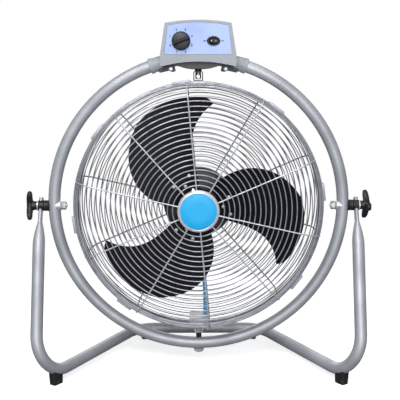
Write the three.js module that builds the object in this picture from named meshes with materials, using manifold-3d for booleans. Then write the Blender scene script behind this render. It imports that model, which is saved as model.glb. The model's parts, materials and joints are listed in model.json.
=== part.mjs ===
// Oscillating ring fan: a wire-caged 18 inch fan head swings inside a tube ring,
// and the ring tilts between the legs of a bent-tube floor stand.
// Millimetres. +Z is up, the fan blows towards -Y, +X is to the right seen from the front.
// The model is built around the crossing of the tilt axis (X) and the swing axis (Z),
// then moved so that it stands on Z = 0 with the middle of its outline over the origin.
import * as THREE from 'three';
import { mergeVertices } from 'three/addons/utils/BufferGeometryUtils.js';
import Module from 'manifold-3d';

const wasm = await Module();
wasm.setup();

// ---------------------------------------------------------------- driving sizes
const gap = 0.3; // between pieces that touch
const runningGap = 0.4; // radial, round a shaft or stud that turns in a hole

const tubeDiameter = 25; // of the stand and of the ring
const tubeWall = 1.3;
const ringRadius = 304.5; // centre line of the ring tube
const ringClearance = 38; // under the ring tube
const pivotLength = 16; // from the ring tube to the axis of a leg
const frontCornerInset = 9.6; // front corners of the stand, in from the legs
const legForward = 157; // front corner ahead of the tilt axis
const footLift = 12.5; // underside of the floor tubes above the floor
const crossbarBehind = 163.3; // rear cross tube behind the tilt axis
const rearCornerSpacing = 295; // between the rear corners
const frontBendRadius = 65;
const rearBendRadius = 65;
const tongueThickness = 9; // flattened top of each leg
const tongueWidth = 18;
const tongueAbove = 19; // top of the tongue above the tilt axis
const tongueBelow = 34;
const tongueTaper = 50; // from flat to round
const footLength = 27;
const footWidth = 20;
const footTaper = 0.12; // share of its width that a foot loses towards the floor
const footChamfer = 3;

const studDiameter = 8;
const bushDiameter = 23;
const bushFloor = 2.4; // of the outer bush, under the tongue
const washerDiameter = 20;
const washerThickness = 2.6;
const nutAcross = 16;
const nutHeight = 8;
const saddleDiameter = 18;
const saddleThickness = 4;

const knobNeckDiameter = 17;
const knobNeckLength = 9.5;
const knobHeadThickness = 12.5;
const knobArmReach = 34;
const knobArmWidth = 13;
const knobArmDroop = 2.2;
const knobArmThinning = 0.72; // of the head's thickness, at the end of an arm

const headClearance = 33; // between the ring tube and the rim band
const bandWall = 1.5;
const bandWidth = 28;
const bandFront = 35.5; // front edge ahead of the swing axis
const rimWire = 4.5; // diameter of the outermost wire of each guard
const guardWire = 2.6;
const spokeWire = 3.2;
const spokeCount = 10;
const spokePhase = 23.2;
const ringPitch = 10.5;
const frontSpokePhase = Math.PI / 2; // turn of the three-sided spoke wire about its own line
const rearSpokePhase = -Math.PI / 2;
const frontGuardPlane = 70; // wire rings of the flat front, ahead of the swing axis
const frontCornerWidth = 49; // from the flat front out to the rim band
const frontCornerRings = 5;
const frontInnerRadius = 31.5;
const rearRingPitch = 21;
const rearGuardPlane = -55;
const rearCornerRadius = 20;
const rearSideInset = 4; // side of the rear guard, in from the rim band
const rearSideRings = 2;
const clipCount = 8;
const clipPhase = 7.5;
const clipLength = 36;
const clipThickness = 3.4;
const clipSink = 0.4; // where a clip is welded to the band
const bandBead = 1; // the band is this much slimmer midway

const badgeRadius = 41;
const badgeDiscRadius = 37;
const badgeDepth = 5;

const bladeCount = 3;
const bladePhase = 3.2;
const bladeClearance = 37; // between the blade tips and the rim band
const bladeRoot = 44;
const bladeThickness = 2;
const bladePlane = 25; // rivet plane ahead of the swing axis
const bladePitchRoot = 0.34; // rise of the blade per mm of its arc
const bladePitchTip = 0.24;
const spiderThickness = 3;
const spiderHubRadius = 40;
const spiderArmReach = 78;
const hubBossRadius = 16;
const shaftDiameter = 12;
const shaftFront = 38;

const motorRadius = 76; // front shell
const motorRearRadius = 64;
const motorWall = 3;
const motorFront = -25;
const motorRear = -95;
const motorShoulder = 14;
const motorFlange = 67; // of the rear shell, 3 mm thick
const mountPlateThickness = 2;
const statorBore = 37;
const bearingRadius = 16;
const bearingWidth = 9;
const ventCount = 8;

const strapWidth = 40;
const strapThickness = 1.8;
const strapJoggle = 11; // rear part of each strap, in from the rim band
const strapRear = -46;
const bracketWidth = 20;
const bracketHeight = 20;
const bracketDepth = 18;
const bracketWall = 2;
const pivotShaftDiameter = 12;
const leadDiameter = 8;

const boxBottomWidth = 152; // control box, at the foot of its panel
const boxTopWidth = 132;
const panelFootRise = 6.3; // heights above the centre line of the ring tube
const boxCornerRise = 67.5;
const boxCrownRise = 73.5;
const controlsRise = 32.5;
const boxDepth = 80;
const boxBackDrop = 0.3; // share of the height lost at the back
const boxWall = 3;
const skirtDrop = 7.5; // lower edge of the box below the centre line of the ring tube
const collarAngle = 19;
const collarWall = 2.6;
const panelMargin = 8.4; // beside the foot of the panel
const panelTopMargin = 5; // beside and above its head
const panelThickness = 1.4;
const speedKnobX = -34;
const speedKnobRadius = 18.6;
const speedKnobDepth = 15;
const speedKnobRest = 20; // degrees its grip rises to the right
const rockerX = 30.5;
const rockerWidth = 25.5;
const rockerHeight = 17.5;
const rockerRest = 8; // degrees the rocker leans at rest
const coverDepth = 62;
const coverDrop = 21.5; // bottom of the cover below the centre line of the ring tube
const coverHalfWidth = 46;
const coverFlatHalfWidth = 26;
const clampAngle = 12.8;

// ---------------------------------------------------------------- facets
const bendSteps = 4; // of each bend of the stand
const tubeSides = 8;
const boreSides = 5;
const ringSteps = 40; // of the ring tube, the rim band and the rim wires
const bushSides = 10;
const motorSteps = 14;

// ---------------------------------------------------------------- derived sizes
const tubeRadius = tubeDiameter / 2;
const ringOutside = ringRadius + tubeRadius;
const ringInside = ringRadius - tubeRadius;
const legX = ringOutside + pivotLength;
const floorLevel = -ringOutside - ringClearance;
const tubeLevel = floorLevel + footLift + tubeRadius;
const studHole = studDiameter / 2 + runningGap;
const tongueInside = legX - tongueThickness / 2;
const tongueOutside = legX + tongueThickness / 2;
const bandRadius = ringInside - headClearance;
const bandInside = bandRadius - bandWall;
const bandRear = bandFront - bandWidth;
const rimWireRadius = bandRadius - clipSink - rimWire / 2 - gap;
const bandBore = (bandInside - bandBead) * Math.cos(Math.PI / ringSteps);
const frontRimWire = bandFront + gap + rimWire / 2;
const rearRimWire = bandRear - gap - rimWire / 2;
const frontFlatRadius = bandRadius - frontCornerWidth;
const rearFlatRadius = bandRadius - rearSideInset - rearCornerRadius;
const bladeTip = bandRadius - bladeClearance;
const strapInner = bandRadius - strapJoggle;
const mountPlateRadius = motorRadius;
const bracketTop = bandRadius + gap + bracketHeight;
const boxPanelFoot = ringRadius + panelFootRise;
const boxCorner = ringRadius + boxCornerRise;
const boxCrown = ringRadius + boxCrownRise;
const controlsHeight = ringRadius + controlsRise;
const skirtRadius = ringRadius - skirtDrop;
const coverBottom = ringRadius - coverDrop;
const boxFrontY = -boxDepth / 2;
const panelFaceY = boxFrontY;

// ---------------------------------------------------------------- materials
function paint(color, roughness, metalness) {
  return new THREE.MeshStandardMaterial({ color, roughness, metalness });
}
const silverPaint = () => paint(0xa3a6ab, 0.38, 0.55);
const wirePaint = () => paint(0xb9bcc2, 0.35, 0.6);
const zinc = () => paint(0xc9ccd0, 0.3, 0.9);
const blackPlastic = () => paint(0x17181b, 0.5, 0);
const greyPlastic = () => paint(0xb6b8b2, 0.45, 0);
const darkPlastic = () => paint(0x3a3b3a, 0.6, 0);
const bladePaint = () => paint(0x151722, 0.35, 0.2);

// ---------------------------------------------------------------- solids
function bareMesh(geometry) {
  const bare = geometry.clone();
  for (const name of ['normal', 'uv']) bare.deleteAttribute(name);
  const merged = mergeVertices(bare, 1e-4);
  const index = merged.index.array;
  const kept = [];
  for (let i = 0; i < index.length; i += 3) {
    const [a, b, c] = [index[i], index[i + 1], index[i + 2]];
    if (a !== b && b !== c && c !== a) kept.push(a, b, c);
  }
  return { points: merged.attributes.position.array, triangles: kept };
}

function signedVolume({ points, triangles }) {
  const corner = (i) => new THREE.Vector3().fromArray(points, triangles[i] * 3);
  let sum = 0;
  for (let i = 0; i < triangles.length; i += 3) {
    sum += corner(i).dot(corner(i + 1).cross(corner(i + 2)));
  }
  return sum / 6;
}

function solid(geometry) {
  const mesh = bareMesh(geometry);
  if (signedVolume(mesh) < 0) mesh.triangles.reverse();
  return new wasm.Manifold(new wasm.Mesh({
    numProp: 3,
    vertProperties: Float32Array.from(mesh.points),
    triVerts: Uint32Array.from(mesh.triangles),
  }));
}

function geometryOf(manifold) {
  const mesh = manifold.getMesh();
  const geometry = new THREE.BufferGeometry();
  geometry.setAttribute('position', new THREE.BufferAttribute(mesh.vertProperties, 3));
  geometry.setIndex(new THREE.BufferAttribute(mesh.triVerts, 1));
  geometry.computeVertexNormals();
  return geometry;
}

function join(parts) {
  return parts.reduce((whole, part) => whole.add(part));
}

function mix(a, b, share) {
  return a + (b - a) * share;
}

function warp(geometry, move) {
  const position = geometry.attributes.position;
  const point = new THREE.Vector3();
  for (let i = 0; i < position.count; i += 1) {
    point.fromBufferAttribute(position, i);
    move(point);
    position.setXYZ(i, point.x, point.y, point.z);
  }
  return geometry;
}

// ---------------------------------------------------------------- basic forms
function box(width, depth, height, x = 0, y = 0, z = 0) {
  return solid(new THREE.BoxGeometry(width, depth, height).translate(x, y, z));
}

// A round bar between two points.
function bar(radius, from, to, sides = 16) {
  const start = new THREE.Vector3(...from);
  const run = new THREE.Vector3(...to).sub(start);
  const geometry = new THREE.CylinderGeometry(radius, radius, run.length(), sides);
  const turn = new THREE.Quaternion().setFromUnitVectors(
    new THREE.Vector3(0, 1, 0),
    run.clone().normalize(),
  );
  geometry.applyQuaternion(turn);
  geometry.translate(...start.addScaledVector(run, 0.5).toArray());
  return solid(geometry);
}

// A profile of [radius, forward] points turned round the fan axis (Y); forward is -Y.
function turned(profile, segments) {
  const points = profile.map(([radius, forward]) => new THREE.Vector2(radius, -forward));
  points.push(points[0].clone());
  return solid(new THREE.LatheGeometry(points, segments));
}

// The same, turned round another axis through the origin.
function turnedAbout(axis, profile, segments) {
  const points = profile.map(([radius, along]) => new THREE.Vector2(radius, along));
  points.push(points[0].clone());
  const geometry = new THREE.LatheGeometry(points, segments);
  geometry.applyQuaternion(
    new THREE.Quaternion().setFromUnitVectors(new THREE.Vector3(0, 1, 0), axis),
  );
  return solid(geometry);
}

// An outline in X and Z given depth along Y, from backY towards the front.
function slab(shape, depth, backY, curveSegments = 12) {
  const options = { depth, bevelEnabled: false, curveSegments };
  const geometry = new THREE.ExtrudeGeometry(shape, options);
  geometry.rotateX(Math.PI / 2);
  return solid(geometry.translate(0, backY, 0));
}

function outline(points) {
  return new THREE.Shape(points.map(([x, y]) => new THREE.Vector2(x, y)));
}

function circleShape(radius, sides, phase = 0) {
  const points = [];
  for (let i = 0; i < sides; i += 1) {
    const angle = phase + (i / sides) * 2 * Math.PI;
    points.push([radius * Math.cos(angle), radius * Math.sin(angle)]);
  }
  return outline(points);
}

function ovalShape(width, height, sides) {
  const points = [];
  for (let i = 0; i < sides; i += 1) {
    const angle = (i / sides) * 2 * Math.PI;
    points.push([(width / 2) * Math.cos(angle), (height / 2) * Math.sin(angle)]);
  }
  return outline(points);
}

// A path through stations with known directions, so that straights take one step.
class StationPath extends THREE.Curve {
  constructor(stations) {
    super();
    this.stations = stations;
  }

  getUtoTmapping(u) {
    return u;
  }

  getPoint(t) {
    const last = this.stations.length - 1;
    const index = Math.min(Math.floor(t * last + 1e-6), last - 1);
    const share = t * last - index;
    return this.stations[index].point.clone().lerp(this.stations[index + 1].point, share);
  }

  getTangent(t) {
    const nearest = Math.round(t * (this.stations.length - 1));
    return this.stations[nearest].tangent.clone();
  }
}

// Stations along straight runs between corners, with a round bend at each inner corner.
function bentStations(corners, radii, bendSteps) {
  const points = corners.map((corner) => new THREE.Vector3(...corner));
  const runs = points.slice(1).map((point, i) => point.clone().sub(points[i]).normalize());
  const stations = [{ point: points[0], tangent: runs[0] }];
  radii.forEach((radius, i) => {
    const [before, after, corner] = [runs[i], runs[i + 1], points[i + 1]];
    const turn = before.angleTo(after);
    const reach = radius * Math.tan(turn / 2);
    const start = corner.clone().addScaledVector(before, -reach);
    const inward = after.clone().addScaledVector(before, -after.dot(before)).normalize();
    for (let step = 0; step <= bendSteps; step += 1) {
      const angle = (turn * step) / bendSteps;
      const point = start.clone();
      point.addScaledVector(before, radius * Math.sin(angle));
      point.addScaledVector(inward, radius * (1 - Math.cos(angle)));
      const tangent = before.clone().multiplyScalar(Math.cos(angle));
      stations.push({ point, tangent: tangent.addScaledVector(inward, Math.sin(angle)) });
    }
  });
  stations.push({ point: points.at(-1), tangent: runs.at(-1) });
  return stations;
}

function sweptGeometry(shape, stations) {
  return new THREE.ExtrudeGeometry(shape, {
    steps: stations.length - 1,
    bevelEnabled: false,
    extrudePath: new StationPath(stations),
  });
}

function hexNut(axis, centre, across, height, bore) {
  const radius = across / Math.sqrt(3);
  const hole = bore / Math.cos(Math.PI / 6);
  const profile = [[hole, 0], [radius, 0], [radius, height], [hole, height]];
  return turnedAbout(axis, profile, 6).translate(centre);
}

const xAxis = new THREE.Vector3(1, 0, 0);
const zAxis = new THREE.Vector3(0, 0, 1);
const degrees = THREE.MathUtils.degToRad;

// ---------------------------------------------------------------- floor stand
// The leg leans forward from the tilt axis, and in a little below its flattened top.
const legLean = legForward / -tubeLevel; // forward per mm of drop
const taperFootZ = -tongueBelow - tongueTaper;

// Corner points of the stand's centre line on one side.
function standCorners(side) {
  return {
    taperFoot: [side * legX, taperFootZ * legLean, taperFootZ],
    front: [side * (legX - frontCornerInset), -legForward, tubeLevel],
    rear: [(side * rearCornerSpacing) / 2, crossbarBehind, tubeLevel],
  };
}

const legHeights = [
  tongueAbove,
  ...[0, 0.35, 0.7, 1].map((share) => -tongueBelow - share * tongueTaper),
];

function legStationsAbove(side) {
  const tangent = new THREE.Vector3(0, -legLean, -1).normalize();
  return legHeights.map((z) => ({
    point: new THREE.Vector3(side * legX, z * legLean, z),
    tangent,
  }));
}

function standStations() {
  const left = standCorners(-1);
  const right = standCorners(1);
  const corners = [left.taperFoot, left.front, left.rear, right.rear, right.front];
  corners.push(right.taperFoot);
  const radii = [frontBendRadius, rearBendRadius, rearBendRadius, frontBendRadius];
  const bends = bentStations(corners, radii, bendSteps).slice(1, -1);
  const start = legStationsAbove(-1);
  const end = legStationsAbove(1).reverse();
  end.forEach((station) => station.tangent = station.tangent.clone().negate());
  return [...start, ...bends, ...end];
}

// Presses the top of each leg flat across X, square to the leaning leg.
const leanSquared = 1 + legLean ** 2;

function flattenLegs(geometry, radius, wall) {
  const halfThickness = tongueThickness / 2 - wall;
  const halfWidth = tongueWidth / 2 - wall;
  return warp(geometry, (point) => {
    const height = (point.y * legLean + point.z) / leanSquared;
    const share = THREE.MathUtils.clamp((height - taperFootZ) / tongueTaper, 0, 1);
    const smooth = share * share * (3 - 2 * share);
    if (smooth === 0) return;
    const axisX = Math.sign(point.x) * legX;
    const across = mix(1, halfThickness / radius, smooth);
    const along = mix(1, halfWidth / radius, smooth);
    const shift = ((point.y - point.z * legLean) * (along - 1)) / leanSquared;
    point.x = axisX + (point.x - axisX) * across;
    point.y += shift;
    point.z -= shift * legLean;
  });
}

function standTube() {
  const stations = standStations();
  const outer = sweptGeometry(circleShape(tubeRadius, tubeSides, 0.1), stations);
  const bore = tubeRadius - tubeWall;
  const inner = sweptGeometry(circleShape(bore, boreSides, 0.1), overrun(stations));
  const shell = solid(flattenLegs(outer, tubeRadius, 0))
    .subtract(solid(flattenLegs(inner, bore, tubeWall)));
  const holes = [-1, 1].map((side) => bar(
    studHole,
    [side * (legX - tubeDiameter), 0, 0],
    [side * (legX + tubeDiameter), 0, 0],
    10,
  ));
  return shell.subtract(join(holes));
}

// The bore runs a little past both ends, so that they are open.
function overrun(stations) {
  const [first, last] = [stations[0], stations.at(-1)];
  const ends = [
    { point: first.point.clone().sub(first.tangent), tangent: first.tangent },
    { point: last.point.clone().add(last.tangent), tangent: last.tangent },
  ];
  return [ends[0], ...stations.slice(1, -1), ends[1]];
}

// The tube as the feet feel it: a coarse sweep grown by the seating gap.
function feetCutter() {
  return solid(sweptGeometry(circleShape(tubeRadius + gap, tubeSides, 0.1), standStations()));
}

function foot(centre, heading, cutter) {
  const [halfWidth, halfLength] = [footWidth / 2, footLength / 2];
  const [sideFlat, endFlat] = [halfLength - footChamfer, halfWidth - footChamfer];
  const block = outline([
    [-halfWidth, -sideFlat],
    [-endFlat, -halfLength],
    [endFlat, -halfLength],
    [halfWidth, -sideFlat],
    [halfWidth, sideFlat],
    [endFlat, halfLength],
    [-endFlat, halfLength],
    [-halfWidth, sideFlat],
  ]);
  const height = centre.z - floorLevel;
  const geometry = new THREE.ExtrudeGeometry(block, { depth: height, bevelEnabled: false });
  warp(geometry, (point) => {
    const grow = 1 - footTaper * (1 - point.z / height);
    point.x *= grow;
    point.y *= grow;
  });
  geometry.rotateZ(heading).translate(centre.x, centre.y, floorLevel);
  return solid(geometry).subtract(cutter);
}

// A foot stands one step before the end of a bend: 0 is the front bend, 1 the rear one.
function footPlace(side, bend) {
  const stations = standStations();
  const fromTop = legHeights.length + bend * (bendSteps + 1) + bendSteps - 1;
  return stations[side < 0 ? fromTop : stations.length - 1 - fromTop];
}

function footAt({ point, tangent }, cutter) {
  return foot(point, Math.atan2(tangent.y, tangent.x) - Math.PI / 2, cutter);
}

// ---------------------------------------------------------------- tilt pivots
// Outer bush: a cup whose slot grips the flat tongue of the leg. It stays with the leg.
function outerBush(side) {
  const inside = tongueInside - bushFloor;
  const cup = bar(bushDiameter / 2, [side * inside, 0, 0], [side * tongueOutside, 0, 0], 12);
  const slotDepth = tongueThickness + 1;
  const slotX = side * (tongueInside - gap + slotDepth / 2);
  const slotWidth = (tongueWidth + 2 * gap) * Math.sqrt(leanSquared);
  const slot = solid(warp(
    new THREE.BoxGeometry(slotDepth, slotWidth, bushDiameter * 2),
    (point) => {
      point.x += slotX;
      point.y += point.z * legLean;
    },
  ));
  const from = [side * (inside - 1), 0, 0];
  const hole = bar(studHole, from, [side * (legX + tongueThickness), 0, 0], 10);
  return cup.subtract(slot).subtract(hole);
}

// Inner bush: flat on the leg side, hollowed to the ring tube on the other.
function innerBush(side) {
  const outside = tongueInside - bushFloor - gap;
  const saddleFlare = 1;
  const length = outside - ringRadius;
  const radius = bushDiameter / 2;
  const profile = [[studHole, 0], [radius + saddleFlare, 0], [radius, length * 0.7]];
  profile.push([radius, length], [studHole, length]);
  const blank = turnedAbout(xAxis.clone().multiplyScalar(side), profile, bushSides);
  return blank.translate([side * ringRadius, 0, 0]).subtract(ringEnvelope());
}

// The space that the ring tube fills, grown by the seating gap.
function ringEnvelope() {
  const grown = new THREE.TorusGeometry(ringRadius, tubeRadius + gap, tubeSides, ringSteps);
  return solid(grown.rotateX(Math.PI / 2));
}

// Saddle washer: a zinc disc pressed to the inner side of the ring tube.
function saddleWasher(side) {
  const inner = ringInside - saddleThickness;
  const profile = [[studHole, 0], [saddleDiameter / 2 - 2, 0], [saddleDiameter / 2, 2]];
  profile.push([saddleDiameter / 2, tubeRadius], [studHole, tubeRadius]);
  const blank = turnedAbout(xAxis.clone().multiplyScalar(side), profile, bushSides);
  return blank.translate([side * inner, 0, 0]).subtract(ringEnvelope());
}

function studNut(side) {
  const outer = ringInside - saddleThickness - gap;
  const axis = xAxis.clone().multiplyScalar(-side);
  return hexNut(axis, [side * outer, 0, 0], nutAcross, nutHeight, studHole);
}

function knobWasher(side) {
  const profile = [[studHole, 0], [washerDiameter / 2, 0]];
  profile.push([washerDiameter / 2, washerThickness], [studHole, washerThickness]);
  const blank = turnedAbout(xAxis.clone().multiplyScalar(side), profile, bushSides);
  return blank.translate([side * (tongueOutside + gap), 0, 0]);
}

// Three-arm clamp knob on its stud: neck, drooping arms and a low crown. The first
// arm's direction is in degrees from straight ahead, turning upwards.
const knobFoot = tongueOutside + 2 * gap + washerThickness;

function knobArm(angle) {
  const arm = new THREE.Shape();
  const half = knobArmWidth / 2;
  arm.moveTo(0, -half * 1.25);
  arm.lineTo(knobArmReach - half, -half);
  arm.absarc(knobArmReach - half, 0, half, -Math.PI / 2, Math.PI / 2, false);
  arm.lineTo(0, half * 1.25);
  const options = { depth: knobHeadThickness, bevelEnabled: false, curveSegments: 3 };
  const geometry = new THREE.ExtrudeGeometry(arm, options);
  const middle = knobHeadThickness / 2;
  warp(geometry, (point) => {
    const out = Math.max(point.x, 0) / knobArmReach;
    point.z = middle + (point.z - middle) * mix(1, knobArmThinning, out);
    point.z -= knobArmDroop * out * out;
  });
  geometry.rotateZ(angle);
  return solid(geometry);
}

function clampKnob(side, firstArm) {
  const neck = knobNeckDiameter / 2;
  const crown = knobNeckLength + knobHeadThickness;
  const bore = studDiameter / 2 + gap;
  const blind = knobNeckLength + 2;
  const profile = [[bore, 0], [neck, 0], [neck - 1, knobNeckLength * 0.6]];
  profile.push([neck + 1.5, knobNeckLength], [neck + 1, crown - 2], [neck - 3, crown]);
  profile.push([0, crown], [0, blind], [bore, blind]);
  const points = profile.map(([radius, along]) => new THREE.Vector2(radius, along));
  points.push(points[0].clone());
  const hub = new THREE.LatheGeometry(points, 12).rotateX(Math.PI / 2);
  const turn = degrees(side > 0 ? -firstArm - 90 : firstArm - 90);
  const arms = [0, 1, 2].map((i) => knobArm(turn + (i * 2 * Math.PI) / 3));
  const lifted = join(arms).translate([0, 0, knobNeckLength - 0.5]).subtract(boreTool(bore, blind));
  const facing = side > 0 ? [0, 90, 0] : [0, -90, 0];
  return solid(hub).add(lifted).rotate(facing).translate([side * knobFoot, 0, 0]);
}

function boreTool(radius, depth) {
  return solid(new THREE.CylinderGeometry(radius, radius, depth * 2, 12).rotateX(Math.PI / 2));
}

function clampStud(side) {
  const inner = ringInside - saddleThickness - gap - nutHeight - 2;
  const outer = knobFoot + knobNeckLength + 1;
  return bar(studDiameter / 2, [side * inner, 0, 0], [side * outer, 0, 0], 10);
}

// ---------------------------------------------------------------- ring
function ringTube() {
  const outer = new THREE.TorusGeometry(ringRadius, tubeRadius, tubeSides, ringSteps);
  const bore = tubeRadius - tubeWall;
  const inner = new THREE.TorusGeometry(ringRadius, bore, boreSides, ringSteps);
  const shell = solid(outer.rotateX(Math.PI / 2)).subtract(solid(inner.rotateX(Math.PI / 2)));
  const span = ringOutside + 5;
  const sideHoles = [-1, 1].map((side) => bar(
    studHole,
    [side * (ringInside - 5), 0, 0],
    [side * span, 0, 0],
    10,
  ));
  const topHole = bar(
    pivotShaftDiameter / 2 + runningGap,
    [0, 0, ringInside - 5],
    [0, 0, span],
    12,
  );
  const bottomHole = bar(studHole, [0, 0, -ringInside + 5], [0, 0, -span], 10);
  return shell.subtract(join([...sideHoles, topHole, bottomHole]));
}

// ---------------------------------------------------------------- wire guards
// Rings and spokes are three-sided wires that meet edge to edge, as deep as the weld.
const weld = 0.5;

const spokeTurn = -spokePhase - 90;
const wireSteps = 2 * spokeCount;
const halfStep = 180 / wireSteps;

// A closed loop whose facets touch the true circle midway, where the spokes cross them.
function wireLoop(profile) {
  const widen = 1 / Math.cos(degrees(halfStep));
  const outer = profile.map(([radius, forward]) => [radius * widen, forward]);
  return turned(outer, wireSteps).rotate([0, spokeTurn + halfStep, 0]);
}

// A ring lying flat, its edge towards the spokes.
function flatRing(radius, forward, facing) {
  const reach = guardWire / 2;
  const shoulder = reach * 0.5;
  const edge = reach * 1.05;
  return wireLoop([
    [radius, forward + facing * reach],
    [radius - edge, forward - facing * shoulder],
    [radius + edge, forward - facing * shoulder],
  ]);
}

// A corner wire, its edge turned out to the spokes at an angle from straight ahead.
function cornerRing([radius, forward], angle) {
  const reach = guardWire / 2;
  const profile = [0, 120, 240].map((turn) => [
    radius + reach * Math.sin(angle + degrees(turn)),
    forward + reach * Math.cos(angle + degrees(turn)),
  ]);
  return wireLoop(profile);
}

function rimRing(forward) {
  const reach = rimWire / 2;
  const profile = [30, 150, 270].map((turn) => [
    rimWireRadius + reach * Math.cos(degrees(turn)),
    forward + reach * Math.sin(degrees(turn)),
  ]);
  return turned(profile, ringSteps).rotate([0, spokeTurn, 0]);
}

function spokes(stations, phase, thickness = spokeWire) {
  const wire = sweptGeometry(circleShape(thickness / 2, 3, phase), stations);
  const first = solid(wire);
  const all = [];
  for (let i = 0; i < spokeCount; i += 1) {
    const angle = spokePhase + (i * 360) / spokeCount;
    all.push(first.rotate([0, -angle, 0]));
  }
  return join(all);
}

// Stations of one spoke lying along +X; points are [radius, forward].
function spokeStations(points) {
  return points.map(([radius, forward], i) => {
    const before = points[Math.max(i - 1, 0)];
    const after = points[Math.min(i + 1, points.length - 1)];
    const tangent = new THREE.Vector3(after[0] - before[0], before[1] - after[1], 0);
    return { point: new THREE.Vector3(radius, -forward, 0), tangent: tangent.normalize() };
  });
}

// Front corner: a quarter ellipse from the flat front back to the rim wire.
function frontCorner(angle, inset) {
  const across = rimWireRadius - frontFlatRadius - inset;
  const deep = frontGuardPlane - frontRimWire - inset;
  return [
    frontFlatRadius + across * Math.sin(angle),
    frontRimWire + deep * Math.cos(angle),
  ];
}

const spokeLift = guardWire / 2 + spokeWire / 2 - weld;
const cornerStep = Math.PI / 2 / (frontCornerRings + 1);

function frontSpokes(thickness) {
  const path = [[frontInnerRadius - 1, frontGuardPlane + spokeLift]];
  path.push([frontFlatRadius - 4, frontGuardPlane + spokeLift]);
  for (let i = 1; i <= frontCornerRings + 1; i += 1) {
    path.push(frontCorner((i - 0.5) * cornerStep, -spokeLift));
  }
  path.push([rimWireRadius - rimWire * 0.2, frontRimWire]);
  return spokes(spokeStations(path), frontSpokePhase, thickness);
}

function frontGuard() {
  const rings = [rimRing(frontRimWire)];
  for (let radius = frontInnerRadius; radius <= frontFlatRadius; radius += ringPitch) {
    rings.push(flatRing(radius, frontGuardPlane, 1));
  }
  for (let i = 1; i <= frontCornerRings; i += 1) {
    rings.push(cornerRing(frontCorner(i * cornerStep, 0), i * cornerStep));
  }
  return join([...rings, frontSpokes(spokeWire)]);
}

// Rear guard: mounting plate, flat back, tight corner and straight side.
const rearCornerStart = rearGuardPlane + rearCornerRadius;

function rearSpokes(thickness) {
  const path = [[motorFlange + spokeWire, rearGuardPlane - spokeLift]];
  path.push([rearFlatRadius, rearGuardPlane - spokeLift]);
  const reach = rearCornerRadius + spokeLift;
  for (const share of [0.25, 0.75]) {
    const angle = share * (Math.PI / 2);
    const across = rearFlatRadius + reach * Math.sin(angle);
    path.push([across, rearCornerStart - reach * Math.cos(angle)]);
  }
  path.push([rearFlatRadius + reach, rearCornerStart + 2]);
  path.push([rearFlatRadius + reach, rearRimWire - rimWire]);
  path.push([rimWireRadius, rearRimWire]);
  return spokes(spokeStations(path), rearSpokePhase, thickness);
}

function rearGuard() {
  const rings = [rimRing(rearRimWire)];
  for (let radius = rearFlatRadius; radius > mountPlateRadius + gap; radius -= rearRingPitch) {
    rings.push(flatRing(radius, rearGuardPlane, -1));
  }
  const diagonal = rearCornerRadius * Math.SQRT1_2;
  const corner = [rearFlatRadius + diagonal, rearCornerStart - diagonal];
  rings.push(cornerRing(corner, degrees(135)));
  const sideSpan = rearRimWire - rearCornerStart;
  for (let i = 0; i < rearSideRings; i += 1) {
    const forward = rearCornerStart + (sideSpan * (i + 0.35)) / rearSideRings;
    rings.push(cornerRing([rearFlatRadius + rearCornerRadius, forward], degrees(90)));
  }
  const back = rearGuardPlane - mountPlateThickness;
  const bore = motorRearRadius - motorWall;
  const plate = turned([
    [bore, back],
    [mountPlateRadius, back],
    [mountPlateRadius, rearGuardPlane],
    [bore, rearGuardPlane],
  ], wireSteps);
  return join([...rings, rearSpokes(spokeWire), plate]);
}

// ---------------------------------------------------------------- rim band and clips
function rimClip(angle) {
  const front = frontRimWire + rimWire / 2 + gap;
  const rear = rearRimWire - rimWire / 2 - gap;
  const inner = bandRadius - clipSink;
  const outer = bandRadius + gap + clipThickness;
  const lip = rimWireRadius;
  const profile = outline([
    [front + clipThickness, lip],
    [front + clipThickness, outer],
    [rear - clipThickness, outer],
    [rear - clipThickness, lip],
    [rear, lip],
    [rear, inner],
    [front, inner],
    [front, lip],
  ]);
  const geometry = new THREE.ExtrudeGeometry(profile, { depth: clipLength, bevelEnabled: false });
  geometry.translate(0, 0, -clipLength / 2).rotateZ(Math.PI / 2);
  geometry.applyMatrix4(new THREE.Matrix4().makeBasis(
    new THREE.Vector3(-1, 0, 0),
    new THREE.Vector3(0, -1, 0),
    new THREE.Vector3(0, 0, 1),
  ));
  return solid(geometry.rotateY(degrees(-angle)));
}

function rimBand() {
  const profile = [
    [bandInside, bandRear],
    [bandRadius, bandRear],
    [bandRadius - bandBead, (bandRear + bandFront) / 2],
    [bandRadius, bandFront],
    [bandInside, bandFront],
    [bandInside - bandBead, (bandRear + bandFront) / 2],
  ];
  const clips = [];
  for (let i = 0; i < clipCount; i += 1) {
    clips.push(rimClip(clipPhase + (i * 360) / clipCount));
  }
  const passing = spokeWire + 4 * gap; // a clip is notched where a spoke ends under it
  const notched = join(clips).subtract(frontSpokes(passing)).subtract(rearSpokes(passing));
  return turned(profile, ringSteps).add(notched);
}

// ---------------------------------------------------------------- hub badge
const badgeBack = frontGuardPlane + guardWire / 2 + spokeWire - 0.8 + gap;

function badgeRim() {
  const back = badgeBack;
  const front = back + badgeDepth;
  const behind = frontGuardPlane - guardWire / 2 - gap;
  const stem = 12;
  return turned([
    [0, behind - 2],
    [frontInnerRadius + 5, behind - 2],
    [frontInnerRadius + 5, behind],
    [stem, behind],
    [stem, back],
    [badgeRadius, back],
    [badgeRadius, back + 2],
    [badgeDiscRadius + gap + 1, front],
    [badgeDiscRadius + gap, front],
    [badgeDiscRadius + gap, back + 2],
    [0, back + 2],
  ], 18);
}

function badgeDisc() {
  const back = badgeBack + 2 + gap;
  const edge = badgeBack + badgeDepth - 1;
  return turned([[0, back], [badgeDiscRadius, back], [badgeDiscRadius, edge - 0.6],
    [0, edge + 0.4]], 18);
}

// ---------------------------------------------------------------- rotor
// Edges of the blade in degrees from its root line, at a share of the way to the tip.
function trailingEdge(share) {
  return 56.5 - 33 * share - 29 * share * share;
}

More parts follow.
